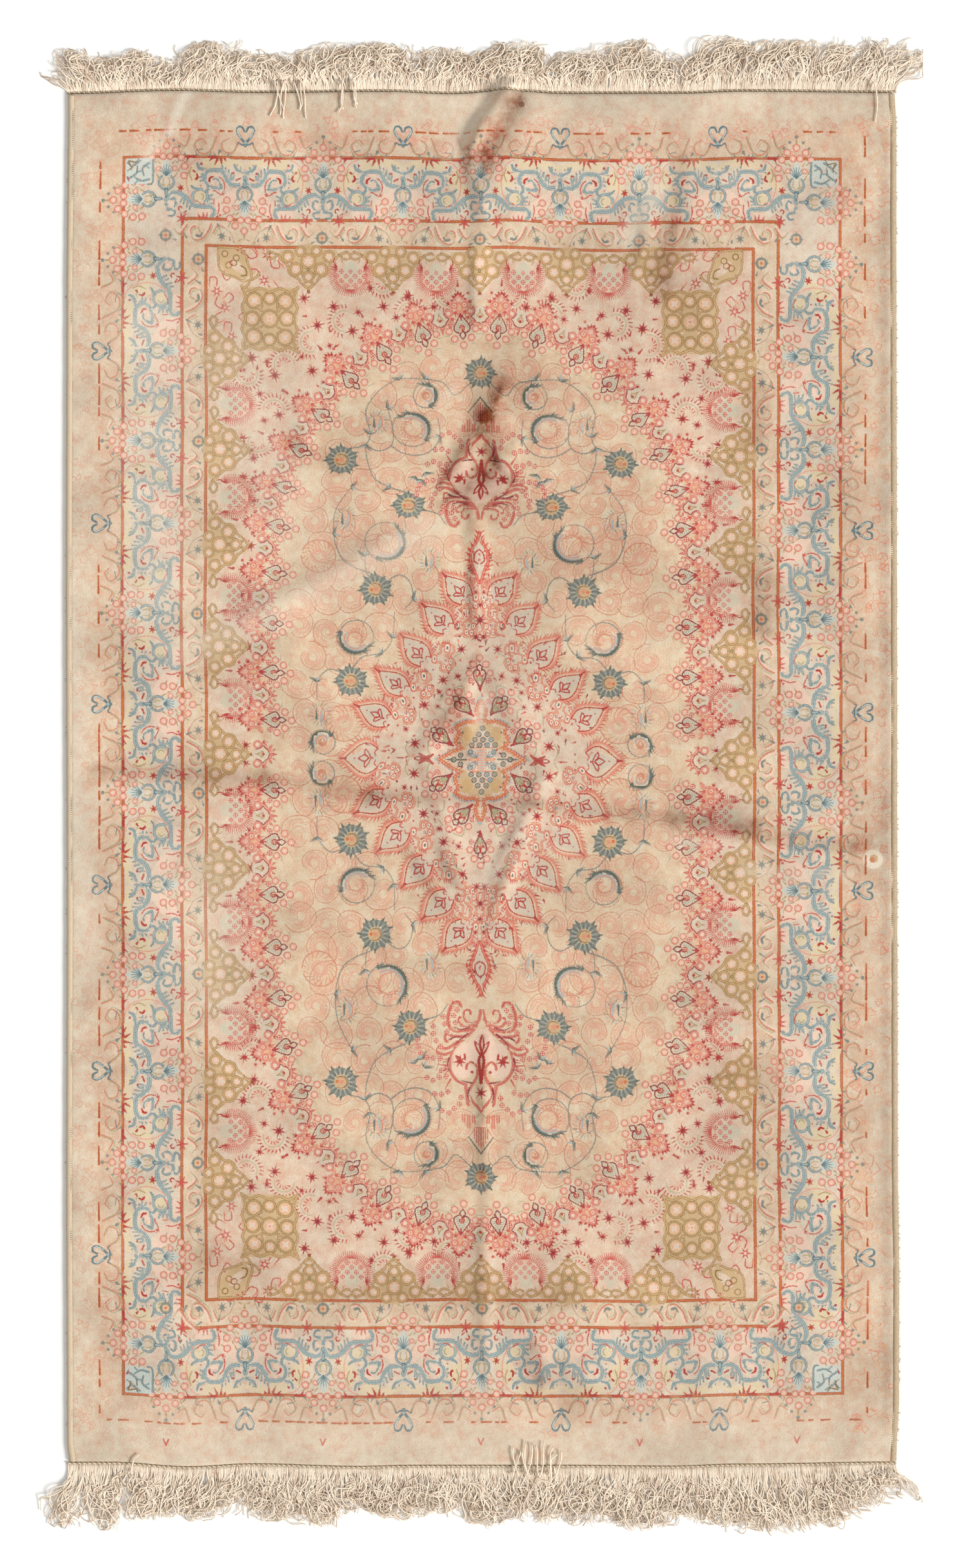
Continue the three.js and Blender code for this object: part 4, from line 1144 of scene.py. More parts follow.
# Creases in millimetres: crest from one point to the other, half width, rise, and whether
# each end fades out
FOLDS = [
    ((44, 1162), (-14, 1062), 27, 18, 0, 0), ((-14, 1062), (0, 930), 25, 11, 0, 1),
    ((-4, 960), (-3, 700), 26, 5, 1, 1), ((58, 712), (-66, 480), 30, 7, 1, 1),
    ((-18, 705), (62, 500), 28, 6, 1, 1), ((-60, 440), (-500, 205), 60, 6, 1, 1),
    ((-12, 520), (-3, 200), 26, 6, 1, 1), ((-3, 225), (-96, 45), 32, 8, 1, 0),
    ((-96, 45), (-20, -225), 30, 7, 0, 1), ((0, 215), (108, 10), 32, 7, 1, 0),
    ((108, 10), (8, -240), 30, 8, 0, 1), ((-1, -400), (0, -700), 25, 5, 1, 1),
    ((0, -710), (1, -1060), 25, 5, 1, 1), ((330, -80), (660, -72), 52, 6, 1, 1),
    ((390, -180), (655, -178), 50, 6, 1, 1), ((285, 995), (312, 800), 52, 6, 1, 1),
    ((-335, 585), (-215, 495), 46, 5, 1, 1), ((82, -940), (110, -1085), 40, 5, 1, 1),
]
# Sharper creases that only dent the pile
CREASES = [
    ((8, 1150), (-30, 985), 11, 2.6), ((-12, 930), (-13, 740), 9, 2.2), ((40, 665), (-5, 590), 10, 2.5),
    ((-5, 590), (-85, 460), 11, 2.5), ((-10, 625), (48, 500), 10, 2.2), ((66, 580), (52, 540), 14, 2.0),
    ((-76, 455), (-28, 478), 9, 2.0), ((-28, 478), (-9, 420), 9, 2.0), ((-15, 370), (-15, 262), 10, 2.4),
    ((-9, 196), (-39, 128), 12, 2.0), ((-39, 128), (-76, 76), 12, 2.0), ((5, 128), (-18, 64), 12, -1.6),
    ((-124, -128), (-57, -222), 14, 2.0), ((-76, -118), (-28, -195), 12, 1.6),
    ((66, -108), (9, -250), 12, 2.2), ((74, -66), (10, -172), 14, 1.6), ((0, -436), (0, -664), 8, 2.2),
    ((0, -700), (0, -1020), 8, 1.6), ((-325, 569), (-230, 512), 16, 2.0),
    ((540, -108), (650, -110), 16, -1.8), ((290, 980), (250, 820), 22, 2.2),
    ((340, 960), (332, 860), 16, -1.4), ((80, -950), (92, -1016), 12, 1.8),
    ((-100, 430), (-470, 220), 24, 1.2), ((-180, 1130), (-176, 900), 40, 0.9),
    ((-330, 1140), (-322, 960), 36, 1.0), ((-520, 1140), (-505, 1000), 34, 1.0),
    ((160, 1130), (150, 930), 38, 0.9), ((520, 1140), (512, 980), 40, 0.9),
    ((-600, 560), (-420, 540), 40, 0.7), ((-560, -300), (-380, -280), 46, 0.7),
    ((420, 420), (640, 400), 50, 0.8), ((-300, -600), (-120, -560), 50, 0.6),
    ((130, -480), (330, -520), 50, 0.6), ((-640, -860), (-300, -850), 34, 0.6),
    ((240, -760), (600, -780), 40, 0.6),
]


def ease(t):
    t = np.clip(t, 0, 1)
    return t * t * (3 - 2 * t)


def eased_column(rows, along):
    """The second value of a table's rows at places along it, eased from row to row."""
    at, value = np.array(rows, float).T
    n = np.clip(np.searchsorted(at, along, side="right") - 1, 0, len(at) - 2)
    t = ease((along - at[n]) / (at[n + 1] - at[n]))
    return value[n] + (value[n + 1] - value[n]) * t


def to_run(x, y, a, b):
    """How far (x, y) lies from the run from a to b, and how far along it, from 0 to 1."""
    (ax, ay), (bx, by) = a, b
    dx, dy = bx - ax, by - ay
    t = np.clip(((x - ax) * dx + (y - ay) * dy) / max(dx * dx + dy * dy, 1e-12), 0, 1)
    return np.hypot(x - ax - t * dx, y - ay - t * dy), t


def crest(x, y, a, b, half, rise, fade_a, fade_b):
    """The height at (x, y) of a soft ridge that runs from a to b."""
    away, t = to_run(x, y, a, b)
    away /= half
    fade = (ease(t / 0.3) if fade_a else 1) * (ease((1 - t) / 0.3) if fade_b else 1)
    return np.where(away < 1, rise * (0.5 + 0.5 * np.cos(np.pi * np.minimum(away, 1))) * fade, 0)


def lift(x, y):
    """How high the cloth's underside is off the floor at (x, y), all in millimetres."""
    return np.max([crest(x, y, *fold) for fold in FOLDS], axis=0)


def dents(x, y):
    """The finer unevenness of the pile's face in millimetres: its creases and 26 shallow waves."""
    total = sum(crest(x, y, a, b, half, rise, 1, 1) for a, b, half, rise in CREASES)
    waves = np.random.default_rng(11)
    for _ in range(26):
        long = waves.uniform(70, 420)
        turn = waves.uniform(0, 2 * np.pi)
        phase = waves.uniform(0, 2 * np.pi)
        along = (x * np.cos(turn) + y * np.sin(turn)) * 2 * np.pi / long
        total += 0.0011 * long ** 0.9 * np.cos(along + phase)
    return total


def end_shift(x, y):
    """How far the uneven ends move the point (x, y) along the rug."""
    share = y / PILE_LONG * 1.6
    return eased_column(TOP_OUT, x) * ease(share - 0.6) - eased_column(BOTTOM_OUT, x) * ease(-share - 0.6)


def rug_place(kx, ky):
    """Where the chart's point (kx, ky) lies on the rug, in millimetres from its middle."""
    u, v = kx / HALF_WIDE, ky / HALF_LONG
    y = PILE_LONG * v
    left = -PILE_WIDE - eased_column(LEFT_OUT, y)
    right = PILE_WIDE + eased_column(RIGHT_OUT, y)
    x = left + (right - left) * (u + 1) / 2
    near = (1 - u**2) * (1 - v**2)
    return (x + near * (1.6 * np.sin(y / 83 + 1) + 1.2 * np.sin(y / 37 + x / 190)),
            y + end_shift(x, y) + near * (1.8 * np.sin(x / 71 + 2) + 1.2 * np.sin(x / 31 + y / 240)))


line_x = np.linspace(-HALF_WIDE, HALF_WIDE, COLUMNS + 1)
line_y = np.linspace(-HALF_LONG, HALF_LONG, ROWS + 1)
knot_x, knot_y = (part.ravel() for part in np.meshgrid(line_x, line_y))
mm_x, mm_y = rug_place(knot_x, knot_y)
low = lift(mm_x, mm_y)
side_near, end_near = HALF_WIDE - abs(knot_x), HALF_LONG - abs(knot_y)
edge_near = np.minimum(side_near, end_near)
high = low + THICKNESS + np.maximum(1.5 * dents(mm_x, mm_y), -3.5) * ease(edge_near / 40 + 0.25)
# the rim of the pile's face is rounded off a little
top_points = np.column_stack([mm_x - np.sign(knot_x) * 0.4 * (side_near < 0.1),
                              mm_y - np.sign(knot_y) * 0.4 * (end_near < 0.1),
                              high - 0.2 * (edge_near < 0.1)])
wide = COLUMNS + 1
index = np.arange(wide * (ROWS + 1)).reshape(ROWS + 1, wide)
faces = np.column_stack([index[:-1, :-1].ravel(), index[:-1, 1:].ravel(), index[1:, 1:].ravel(),
                         index[1:, :-1].ravel()]).tolist()
around = np.concatenate([index[0, :-1], index[:-1, -1], index[-1, :0:-1], index[:0:-1, 0]])
shoulder = len(top_points) + np.arange(len(around))
shoulder_points = np.column_stack([mm_x[around], mm_y[around], high[around] - 2.2])
STEP = 4
coarse = index[::STEP, ::STEP]
under_of = {int(k): len(top_points) + len(around) + n for n, k in enumerate(coarse.ravel())}
under_points = np.column_stack([mm_x[coarse.ravel()], mm_y[coarse.ravel()], low[coarse.ravel()]])
for n in range(len(around)):
    m = (n + 1) % len(around)
    faces.append([int(around[m]), int(around[n]), int(shoulder[n]), int(shoulder[m])])
for n in range(0, len(around), STEP):
    upper = [int(shoulder[(n + k) % len(around)]) for k in range(STEP + 1)]
    faces.append([under_of[int(around[n])], under_of[int(around[(n + STEP) % len(around)])]] + upper[::-1])
for r in range(coarse.shape[0] - 1):
    for c in range(coarse.shape[1] - 1):
        faces.append([under_of[int(k)] for k in (coarse[r, c], coarse[r + 1, c], coarse[r + 1, c + 1],
                                                 coarse[r, c + 1])])
points = np.vstack([top_points, shoulder_points, under_points])
points = np.column_stack([points[:, :2] * 1e-3 + CHART_AT, points[:, 2] * 1e-3])
cloth = bpy.data.meshes.new("rug_pile_cloth")
cloth.from_pydata(points.tolist(), [], faces)
cloth.polygons.foreach_set("use_smooth", [True] * len(faces))
pile = bpy.data.objects.new("rug_pile_cloth", cloth)
bpy.context.scene.collection.objects.link(pile)


def keep(mesh, name, values, domain="POINT"):
    """Keeps an array of numbers or vectors on the mesh as a named attribute."""
    vectors = np.ndim(values) == 2
    field = mesh.attributes.new(name, "FLOAT_VECTOR" if vectors else "FLOAT", domain)
    field.data.foreach_set("vector" if vectors else "value", np.ravel(values).astype(np.float32))


# ---------------------------------------------------------------- each cell's strokes
# A face of the pile's top holds the last LAYERS strokes of the chart that cross it.
LAYERS = 15
cell_x, cell_y = line_x[1] - line_x[0], line_y[1] - line_y[0]
reach = np.maximum(chart[:, 5], chart[:, 6]) + chart[:, 4] + 1.3


def cell_number(at, half, size, cells):
    """The number of the cell that holds each place, counted from -half."""
    return np.floor((at + half) / size).clip(0, cells - 1).astype(int)


first = cell_number(np.minimum(chart[:, 0], chart[:, 2]) - reach, HALF_WIDE, cell_x, COLUMNS)
final = cell_number(np.maximum(chart[:, 0], chart[:, 2]) + reach, HALF_WIDE, cell_x, COLUMNS)
lowest = cell_number(np.minimum(chart[:, 1], chart[:, 3]) - reach, HALF_LONG, cell_y, ROWS)
highest = cell_number(np.maximum(chart[:, 1], chart[:, 3]) + reach, HALF_LONG, cell_y, ROWS)
across = final - first + 1
count = across * (highest - lowest + 1)
which = np.repeat(np.arange(len(chart)), count)
nth = np.arange(count.sum()) - np.repeat(np.cumsum(count) - count, count)
column = first[which] + nth % across[which]
row = lowest[which] + nth // across[which]
# the stroke's nearest point to the cell's middle, and whether the cell reaches the yarn
ax, ay, bx, by, bend = chart[which, :5].T
middle_x, middle_y = line_x[column] + cell_x / 2, line_y[row] + cell_y / 2
dx, dy = bx - ax, by - ay
t = np.clip(((middle_x - ax) * dx + (middle_y - ay) * dy) / np.maximum(dx * dx + dy * dy, 1e-9), 0, 1)
away_x, away_y = middle_x - ax - t * dx, middle_y - ay - t * dy
away = np.hypot(away_x, away_y)
spread = (abs(away_x) * cell_x + abs(away_y) * cell_y) / 2 / np.maximum(away, 1e-9)
thick = np.maximum(chart[which, 5], chart[which, 6]) + 0.8
touches = np.where(bend > 0, (away - spread < bend + thick) & (away + spread > bend - thick),
                   away - spread < thick)
which, crossed = which[touches], (row * COLUMNS + column)[touches]
order = np.lexsort((which, crossed))
which, crossed = which[order], crossed[order]
CELLS = COLUMNS * ROWS
ends = np.searchsorted(crossed, np.arange(CELLS), side="right")
starts = np.searchsorted(crossed, np.arange(CELLS), side="left")
lengths = np.hypot(chart[:, 2] - chart[:, 0], chart[:, 3] - chart[:, 1])
safe = np.maximum(lengths, 1e-6)
start_of = np.column_stack([chart[:, :2], np.zeros(len(chart))])
heading_of = np.column_stack([(chart[:, 2:4] - chart[:, :2]) / safe[:, None], lengths])
form_of = np.column_stack([chart[:, 5], (chart[:, 6] - chart[:, 5]) / safe * (lengths > 0),
                           chart[:, 7] + 0.25 + chart[:, 4] / 200])
# what a face holds in a layer that it doesn't need: a stroke too thin to show
NO_STROKE = {"start": (0, 0, 0), "heading": (0, 0, 0), "form": (-9, 0, 0.25)}
for layer in range(LAYERS):
    pick = ends - LAYERS + layer
    held = pick >= starts
    stroke_no = which[np.where(held, pick, 0)]
    for name, rows_of in (("start", start_of), ("heading", heading_of), ("form", form_of)):
        values = np.tile(np.array(NO_STROKE[name], float), (len(faces), 1))
        values[:CELLS][held] = rows_of[stroke_no[held]]
        keep(cloth, f"{name} {layer}", values, "FACE")

# ---------------------------------------------------------------- zones of the ground
def outline_distance(x, y, outline):
    """Signed distance to a closed outline, above zero inside it."""
    best = np.full(len(x), 1e9)
    within = np.zeros(len(x), bool)
    for (ax, ay), (bx, by) in zip(outline, np.roll(outline, -1, axis=0)):
        best = np.minimum(best, to_run(x, y, (ax, ay), (bx, by))[0])
        if ay != by:
            within ^= ((ay > y) != (by > y)) & (x < ax + (y - ay) * (bx - ax) / (by - ay))
    return np.where(within, best, -best)


def four_quarters(rows):
    """A quarter's outline, from the side to the foot, carried round the middle."""
    q = [np.asarray(rows, float) @ place[:, :2].T + place[:, 2] for place in QUARTERS]
    rows = np.vstack([q[0], q[2][::-1], q[3], q[1][::-1]])
    return np.column_stack([rows[:, 0], woven_tighter(rows[:, 1])])


def scalloped(path, tip, notch):
    """An outline with a point at each place of the path and a notch between each two."""
    rows = []
    for n in range(1, len(path) - 1):
        rows.append(path[n] + tip * unit(outward(path[n - 1], path[n + 1])))
        if n < len(path) - 2:
            rows.append((path[n] + path[n + 1]) / 2 + notch * unit(outward(path[n], path[n + 1])))
    return rows


# 0 at the pile's edge, one more at each line, and 5 in the field
band = np.full(len(knot_x), 5.0)
for side, far in (("right", knot_x), ("left", -knot_x), ("top", knot_y), ("bottom", -knot_y)):
    lines = list(LINES[side][::-1])
    band = np.minimum(band, np.interp(far, [lines[0] - 160] + lines, [5, 4, 3, 2, 1, 0]))
chart_y = knot_y - pulled_up(knot_x, knot_y)
oval_in = outline_distance(knot_x, chart_y, four_quarters(scalloped(OVAL, 44, 8)))
rim = []
for foot, tip in zip(MEDALLION_FEET, MEDALLION):
    ahead = (tip - foot) / np.hypot(*(tip - foot))
    aside = ahead[::-1] * (-1, 1)
    rim += [foot * 0.22 + tip * 0.78, foot + 20 * ahead + 24 * aside, foot + 2 * ahead + 44 * aside]
rim = [(206, WAIST)] + rim[1:-1] + [(14, 322), (0, 350)]
medallion_in = outline_distance(knot_x, chart_y, four_quarters(rim))
spare = len(points) - len(knot_x)
knots = np.column_stack([knot_x, knot_y, 0 * knot_x])
keep(cloth, "knot", np.vstack([knots, np.zeros((spare, 3))]))
# Grime and wear from years of folding and treading, with painted shade and painted highlights on the folds:
# the dark runs along the folds and creases are painted shade, the pale runs beside them are painted
# highlights, and the rest are real stains and worn, faded patches. Each row is a run from (x, y) to (x, y)
# in knots, its half width and how much it darkens (above zero) or lightens the pile
GRIME_AND_CREASE_SHADE = [
    (-459, 1062, -485, 1000, 7, -0.7), (-485, 1000, -522, 962, 8, -0.6), (-470, 1020, -505, 985, 5, 0.2),
    (8, 1052, -44, 980, 14, -0.5), (52, 1052, 4, 960, 20, 1.0), (4, 960, -4, 865, 13, 0.6),
    (22, 600, 4, 420, 40, 0.55), (8, 470, -70, 420, 14, 0.6), (35, 612, 8, 560, 10, 0.7),
    (8, 560, -62, 454, 12, 0.7), (-9, 577, 17, 489, 9, 0.5), (17, 489, 44, 459, 9, 0.5),
    (-37, 607, -57, 588, 8, -0.4), (43, 558, 61, 540, 8, -0.4), (-14, 340, -14, 242, 8, 0.5),
    (-9, 181, -36, 120, 11, 0.7), (-36, 120, -71, 67, 11, 0.7), (-40, 84, -26, 44, 20, 0.7),
    (4, 120, -18, 58, 9, -0.5), (-71, 393, -467, 190, 26, -0.35), (-115, -118, -53, -206, 12, 0.4),
    (-71, -110, -27, -181, 10, 0.4), (61, -100, 8, -232, 11, 0.4), (67, -60, 9, -160, 12, -0.4),
    (-600, 12, -340, 0, 16, 0.55), (-340, 0, -170, -26, 13, 0.5), (-205, -10, -150, -48, 34, 0.35),
    (-170, -26, 80, -40, 13, 0.5), (80, -40, 300, -62, 14, 0.5), (300, -62, 420, -76, 17, 0.6),
    (400, -84, 592, -104, 20, 0.5), (470, -112, 570, -112, 34, 0.2), (300, -96, 620, -128, 9, -0.3),
    (410, -144, 565, -146, 12, -0.35), (298, 766, 320, 720, 50, 0.32), (273, 912, 228, 842, 16, -0.6),
    (308, 955, 300, 860, 16, 0.5), (296, 860, 280, 754, 18, 0.7), (428, 600, 426, 530, 28, 0.6),
    (440, 300, 438, 236, 26, 0.7), (370, -454, 440, -460, 38, 0.45), (-300, 524, -212, 472, 12, 0.35),
    (0, -401, 0, -612, 7, 0.8), (0, -612, 2, -946, 8, 0.5), (78, -876, 88, -938, 8, 0.6),
    (-420, -740, -360, -756, 36, 0.35), (-260, -800, 120, -800, 26, 0.3), (110, -930, 118, -960, 38, 0.4),
    (-470, 960, -430, 950, 36, 0.3), (-250, 1010, -240, 960, 24, 0.35), (62, 1046, 62, 1038, 12, 0.5),
    (-242, 508, -230, 500, 14, 0.3), (-430, -150, -420, -330, 60, -0.25),
    (-520, 700, -500, 300, 60, -0.3), (-380, 640, -300, 420, 70, -0.2), (560, 960, 540, 900, 30, 0.35),
    (-640, 300, -610, -300, 18, -0.3), (624, -1000, 624, 1000, 9, 0.4), (-80, 700, 100, 640, 60, 0.2),
    (-560, -1000, 560, -1000, 40, -0.15), (120, 330, 240, 380, 60, 0.2), (540, 500, 560, 200, 40, 0.2),
]
# grime plus painted crease shade and highlights, summed at each knot
grime_and_crease_shade = np.zeros(len(knot_x))
for ax, ay, bx, by, half, dark in GRIME_AND_CREASE_SHADE:
    away, _ = to_run(knot_x, knot_y, (ax, ay), (bx, by))
    grime_and_crease_shade += dark * np.exp(-(away / half) ** 2)
zones = np.column_stack([band, oval_in.clip(-99, 99), medallion_in.clip(-99, 99)])
keep(cloth, "zone", np.vstack([zones, np.tile((0, -99, -99), (spare, 1))]))
keep(cloth, "grime_and_crease_shade", np.concatenate([grime_and_crease_shade, np.zeros(spare)]))


def linear(code):
    """Scene-linear RGBA of an sRGB hex code."""
    parts = [int(code[i:i + 2], 16) / 255 for i in (1, 3, 5)]
    return [p / 12.92 if p <= 0.04045 else ((p + 0.055) / 1.055) ** 2.4 for p in parts] + [1.0]


def add(tree, kind, inputs=(), **settings):
    """A node of that kind, its settings made and its inputs given values or linked."""
    new = tree.nodes.new(kind)
    for name, value in settings.items():
        setattr(new, name, value)
    for socket, value in dict(inputs).items():
        if isinstance(value, bpy.types.NodeSocket):
            tree.links.new(value, new.inputs[socket])
        else:
            new.inputs[socket].default_value = value
    return new


def colours(ramp_node, stops, blend="LINEAR"):
    """Gives a colour ramp its stops, (place, hex code) each."""
    ramp = ramp_node.color_ramp
    ramp.interpolation = blend
    while len(ramp.elements) > 1:
        ramp.elements.remove(ramp.elements[-1])
    ramp.elements[0].position = stops[0][0]
    ramp.elements[0].color = linear(stops[0][1])
    for place, code in stops[1:]:
        ramp.elements.new(place).color = linear(code)


def maths(tree, operation, *values, clamp=False):
    """What a Math node makes of its values."""
    return add(tree, "ShaderNodeMath", enumerate(values), operation=operation, use_clamp=clamp).outputs[0]


def vectors(tree, operation, a, b):
    """What a Vector Math node makes of a and b."""
    made = add(tree, "ShaderNodeVectorMath", {0: a, 1: b}, operation=operation).outputs
    return made["Value"] if operation == "DOT_PRODUCT" else made[0]


def mix(tree, share, below, above, blend="MIX"):
    """A share of the colour above laid over the colour below."""
    inputs = {0: share, 6: below, 7: above}
    return add(tree, "ShaderNodeMix", inputs, data_type="RGBA", blend_type=blend).outputs[2]


def noise(tree, place, scale, detail, roughness=0.5, dimensions="2D"):
    """The outputs of a noise texture: its value, then its colour."""
    inputs = {"Vector": place, "Scale": scale, "Detail": detail, "Roughness": roughness}
    return add(tree, "ShaderNodeTexNoise", inputs, noise_dimensions=dimensions).outputs


def ranged(tree, value, low, high, new_low, new_high):
    """The value carried from one range to another and held inside it."""
    return add(tree, "ShaderNodeMapRange", {0: value, 1: low, 2: high, 3: new_low, 4: new_high}).outputs[0]


def attribute(tree, name, output="Vector"):
    return add(tree, "ShaderNodeAttribute", attribute_name=name).outputs[output]


# One layer of yarn over the colour below it: full inside the stroke's width, none outside it
layer_group = bpy.data.node_groups.new("charted stroke", "ShaderNodeTree")
for name, kind in (("Below", "Color"), ("Knot", "Vector"), ("Start", "Vector"), ("Heading", "Vector"),
                   ("Form", "Vector"), ("Strength", "Float")):
    layer_group.interface.new_socket(name, in_out="INPUT", socket_type="NodeSocket" + kind)
layer_group.interface.new_socket("Colour", in_out="OUTPUT", socket_type="NodeSocketColor")
given = add(layer_group, "NodeGroupInput").outputs
offset = vectors(layer_group, "SUBTRACT", given["Knot"], given["Start"])
ahead = vectors(layer_group, "DOT_PRODUCT", offset, given["Heading"])
square = vectors(layer_group, "DOT_PRODUCT", offset, offset)
length = add(layer_group, "ShaderNodeSeparateXYZ", {0: given["Heading"]}).outputs[2]
width, taper, code = add(layer_group, "ShaderNodeSeparateXYZ", {0: given["Form"]}).outputs
run = maths(layer_group, "MINIMUM", maths(layer_group, "MAXIMUM", ahead, 0.0), length)
# the distance from the stroke's line, or from its ring where it has a bend
away = maths(layer_group, "MULTIPLY_ADD", ahead, -2.0, run)
away = maths(layer_group, "MULTIPLY_ADD", away, run, square)
away = maths(layer_group, "SQRT", maths(layer_group, "MAXIMUM", away, 0.0))
bend = maths(layer_group, "MULTIPLY_ADD", maths(layer_group, "FRACT", code), 200.0, -50.0)
away = maths(layer_group, "ABSOLUTE", maths(layer_group, "SUBTRACT", away, bend))
cover = maths(layer_group, "SUBTRACT", maths(layer_group, "MULTIPLY_ADD", run, taper, width), away)
cover = maths(layer_group, "MULTIPLY_ADD", cover, 0.8, 0.5, clamp=True)
cover = maths(layer_group, "MULTIPLY", cover, given["Strength"])
yarn = add(layer_group, "ShaderNodeValToRGB", {0: maths(layer_group, "MULTIPLY", code, 1 / len(YARNS))})
colours(yarn, [(n / len(YARNS), shade) for n, shade in enumerate(YARNS.values())], "CONSTANT")
add(layer_group, "NodeGroupOutput", {0: mix(layer_group, cover, given["Below"], yarn.outputs[0])})

wool = bpy.data.materials.new("knotted wool pile")
wool.use_nodes = True
tree = wool.node_tree
tree.nodes.clear()
knot = attribute(tree, "knot")
fuzz = vectors(tree, "SUBTRACT", noise(tree, knot, 0.6, 1.0)["Color"], (0.5, 0.5, 0.5))
blurred = vectors(tree, "ADD", knot, vectors(tree, "MULTIPLY", fuzz, (2.4, 2.4, 0.0)))
# the ground's zones: border bands, field, inner field, medallion
level, in_oval, in_medallion = add(tree, "ShaderNodeSeparateXYZ", {0: attribute(tree, "zone")}).outputs
ground = add(tree, "ShaderNodeValToRGB", {0: maths(tree, "MULTIPLY", level, 0.2)})
colours(ground, [(0.0, "#D6C4AC"), (0.17, "#D8C0A5"), (0.21, "#D8BB9F"), (0.38, "#D7BB9F"),
                 (0.41, "#D7C5B0"), (0.58, "#D6C4AF"), (0.61, "#DAC3A5"), (0.79, "#D8BDA0"),
                 (0.81, "#DABEA5"), (1.0, "#DABDA4")])
colour = ground.outputs[0]
for depth, shade in ((in_oval, "#DBC1A1"), (in_medallion, "#D9C0A8")):
    within = maths(tree, "MULTIPLY_ADD", depth, 0.3, 0.5, clamp=True)
    colour = mix(tree, within, colour, linear(shade))
# dye that has bled and faded in blotches
bled = noise(tree, blurred, 0.05, 8.0, 0.82)[0]
colour = mix(tree, ranged(tree, bled, 0.51, 0.68, 0.0, 0.62), colour, linear("#D39A80"))
colour = mix(tree, ranged(tree, bled, 0.51, 0.33, 0.0, 0.75), colour, linear("#E2D4BD"))
# yarn over it, layer by layer, weaker where the rug is worn
worn = ranged(tree, noise(tree, knot, 0.012, 6.0, 0.7)[0], 0.32, 0.6, 0.74, 1.04)
thin = ranged(tree, noise(tree, knot, 0.8, 2.0)[0], 0.34, 0.56, 0.8, 1.04)
strength = maths(tree, "MULTIPLY", worn, thin, clamp=True)
for layer in range(LAYERS):
    held = [attribute(tree, f"{name} {layer}") for name in NO_STROKE]
    stitched = add(tree, "ShaderNodeGroup", node_tree=layer_group)
    for socket, value in zip(stitched.inputs, [colour, blurred, *held, strength]):
        tree.links.new(value, socket)
    colour = stitched.outputs[0]
# abrash, then grime with painted shade and painted highlights along the creases, then speckle from knot to
# knot
abrash = ranged(tree, noise(tree, knot, 0.008, 5.0, 0.62)[0], 0.36, 0.64, 0.86, 1.06)
colour = mix(tree, 1.0, colour, abrash, "MULTIPLY")
grime_and_shade_mottle = ranged(tree, noise(tree, knot, 0.06, 5.0, 0.7)[0], 0.3, 0.7, 0.6, 1.25)
grime_and_shade_amount = maths(tree, "MULTIPLY", attribute(tree, "grime_and_crease_shade", "Fac"), grime_and_shade_mottle)
# darker where there is grime and where shade is painted along the creases
dark = maths(tree, "MULTIPLY", grime_and_shade_amount, 0.62, clamp=True)
colour = mix(tree, dark, colour, linear("#8C5A40"), "MULTIPLY")
# paler where the pile is faded and where highlights are painted beside the creases
faded_and_highlit = maths(tree, "MULTIPLY", grime_and_shade_amount, -0.8, clamp=True)
colour = mix(tree, faded_and_highlit, colour, linear("#EDE2CF"))
speckle = ranged(tree, noise(tree, knot, 0.8, 3.0, 0.8)[0], 0.3, 0.7, 0.8, 1.16)
colour = mix(tree, 1.0, colour, speckle, "MULTIPLY")
tufts = noise(tree, vectors(tree, "MULTIPLY", knot, (0.55, 1.0, 1.0)), 0.75, 3.0, 0.6)[0]
relief = add(tree, "ShaderNodeBump", {"Height": tufts, "Strength": 0.7, "Distance": 0.0013})
surface = add(tree, "ShaderNodeBsdfPrincipled", {
    "Base Color": colour, "Roughness": 1.0, "Normal": relief.outputs[0], "Sheen Weight": 0.15,
    "Sheen Roughness": 0.5, "Specular IOR Level": 0.1})
add(tree, "ShaderNodeOutputMaterial", {0: surface.outputs[0]})
cloth.materials.append(wool)
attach(pile, "root")
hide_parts("rug_pile")

# ================================================================ Side cords
# The outermost warps bound round and round with wool yarn: slate and cream on the right, worn
# pale on the left. Loose ends of the binding stick out along the right one.
def add_piece(name, verts, faces, shade, material, node):
    """A piece of the rug from points in millimetres, standing for its CAD node."""
    verts = np.column_stack([verts[:, :2] * 1e-3 + CHART_AT, verts[:, 2] * 1e-3])
    mesh = bpy.data.meshes.new(name)
    mesh.from_pydata(verts.tolist(), [], faces)
    mesh.polygons.foreach_set("use_smooth", [True] * len(faces))
    mesh.materials.append(material)
    keep(mesh, "shade", shade)
    piece = bpy.data.objects.new(name, mesh)
    bpy.context.scene.collection.objects.link(piece)
    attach(piece, "root")
    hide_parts(node)


def moved_on(faces, count):
    """The faces with each of their points' numbers raised by count."""
    return [[number + count for number in face] for face in faces]


def tube(paths, radii, sides):
    """Closed tubes along paths, an array of strands x points x 3: their points and faces."""
    strands, steps = radii.shape
    ahead = np.gradient(paths, axis=1)
    ahead /= np.linalg.norm(ahead, axis=2, keepdims=True) + 1e-9
    side = np.cross(ahead, (0.02, 0.01, 1.0))
    side /= np.linalg.norm(side, axis=2, keepdims=True) + 1e-9
    up = np.cross(side, ahead)
    turn = np.arange(sides) * 2 * np.pi / sides
    out = np.cos(turn)[:, None] * side[:, :, None, :] + np.sin(turn)[:, None] * up[:, :, None, :]
    verts = (paths[:, :, None, :] + radii[:, :, None, None] * out).reshape(-1, 3)
    number = np.arange(strands * steps * sides).reshape(strands, steps, sides)
    after = np.roll(number, -1, axis=2)
    walls = np.stack([number[:, :-1], number[:, 1:], after[:, 1:], after[:, :-1]], axis=-1)
    return verts, walls.reshape(-1, 4).tolist() + number[:, 0].tolist() + number[:, -1, ::-1].tolist()


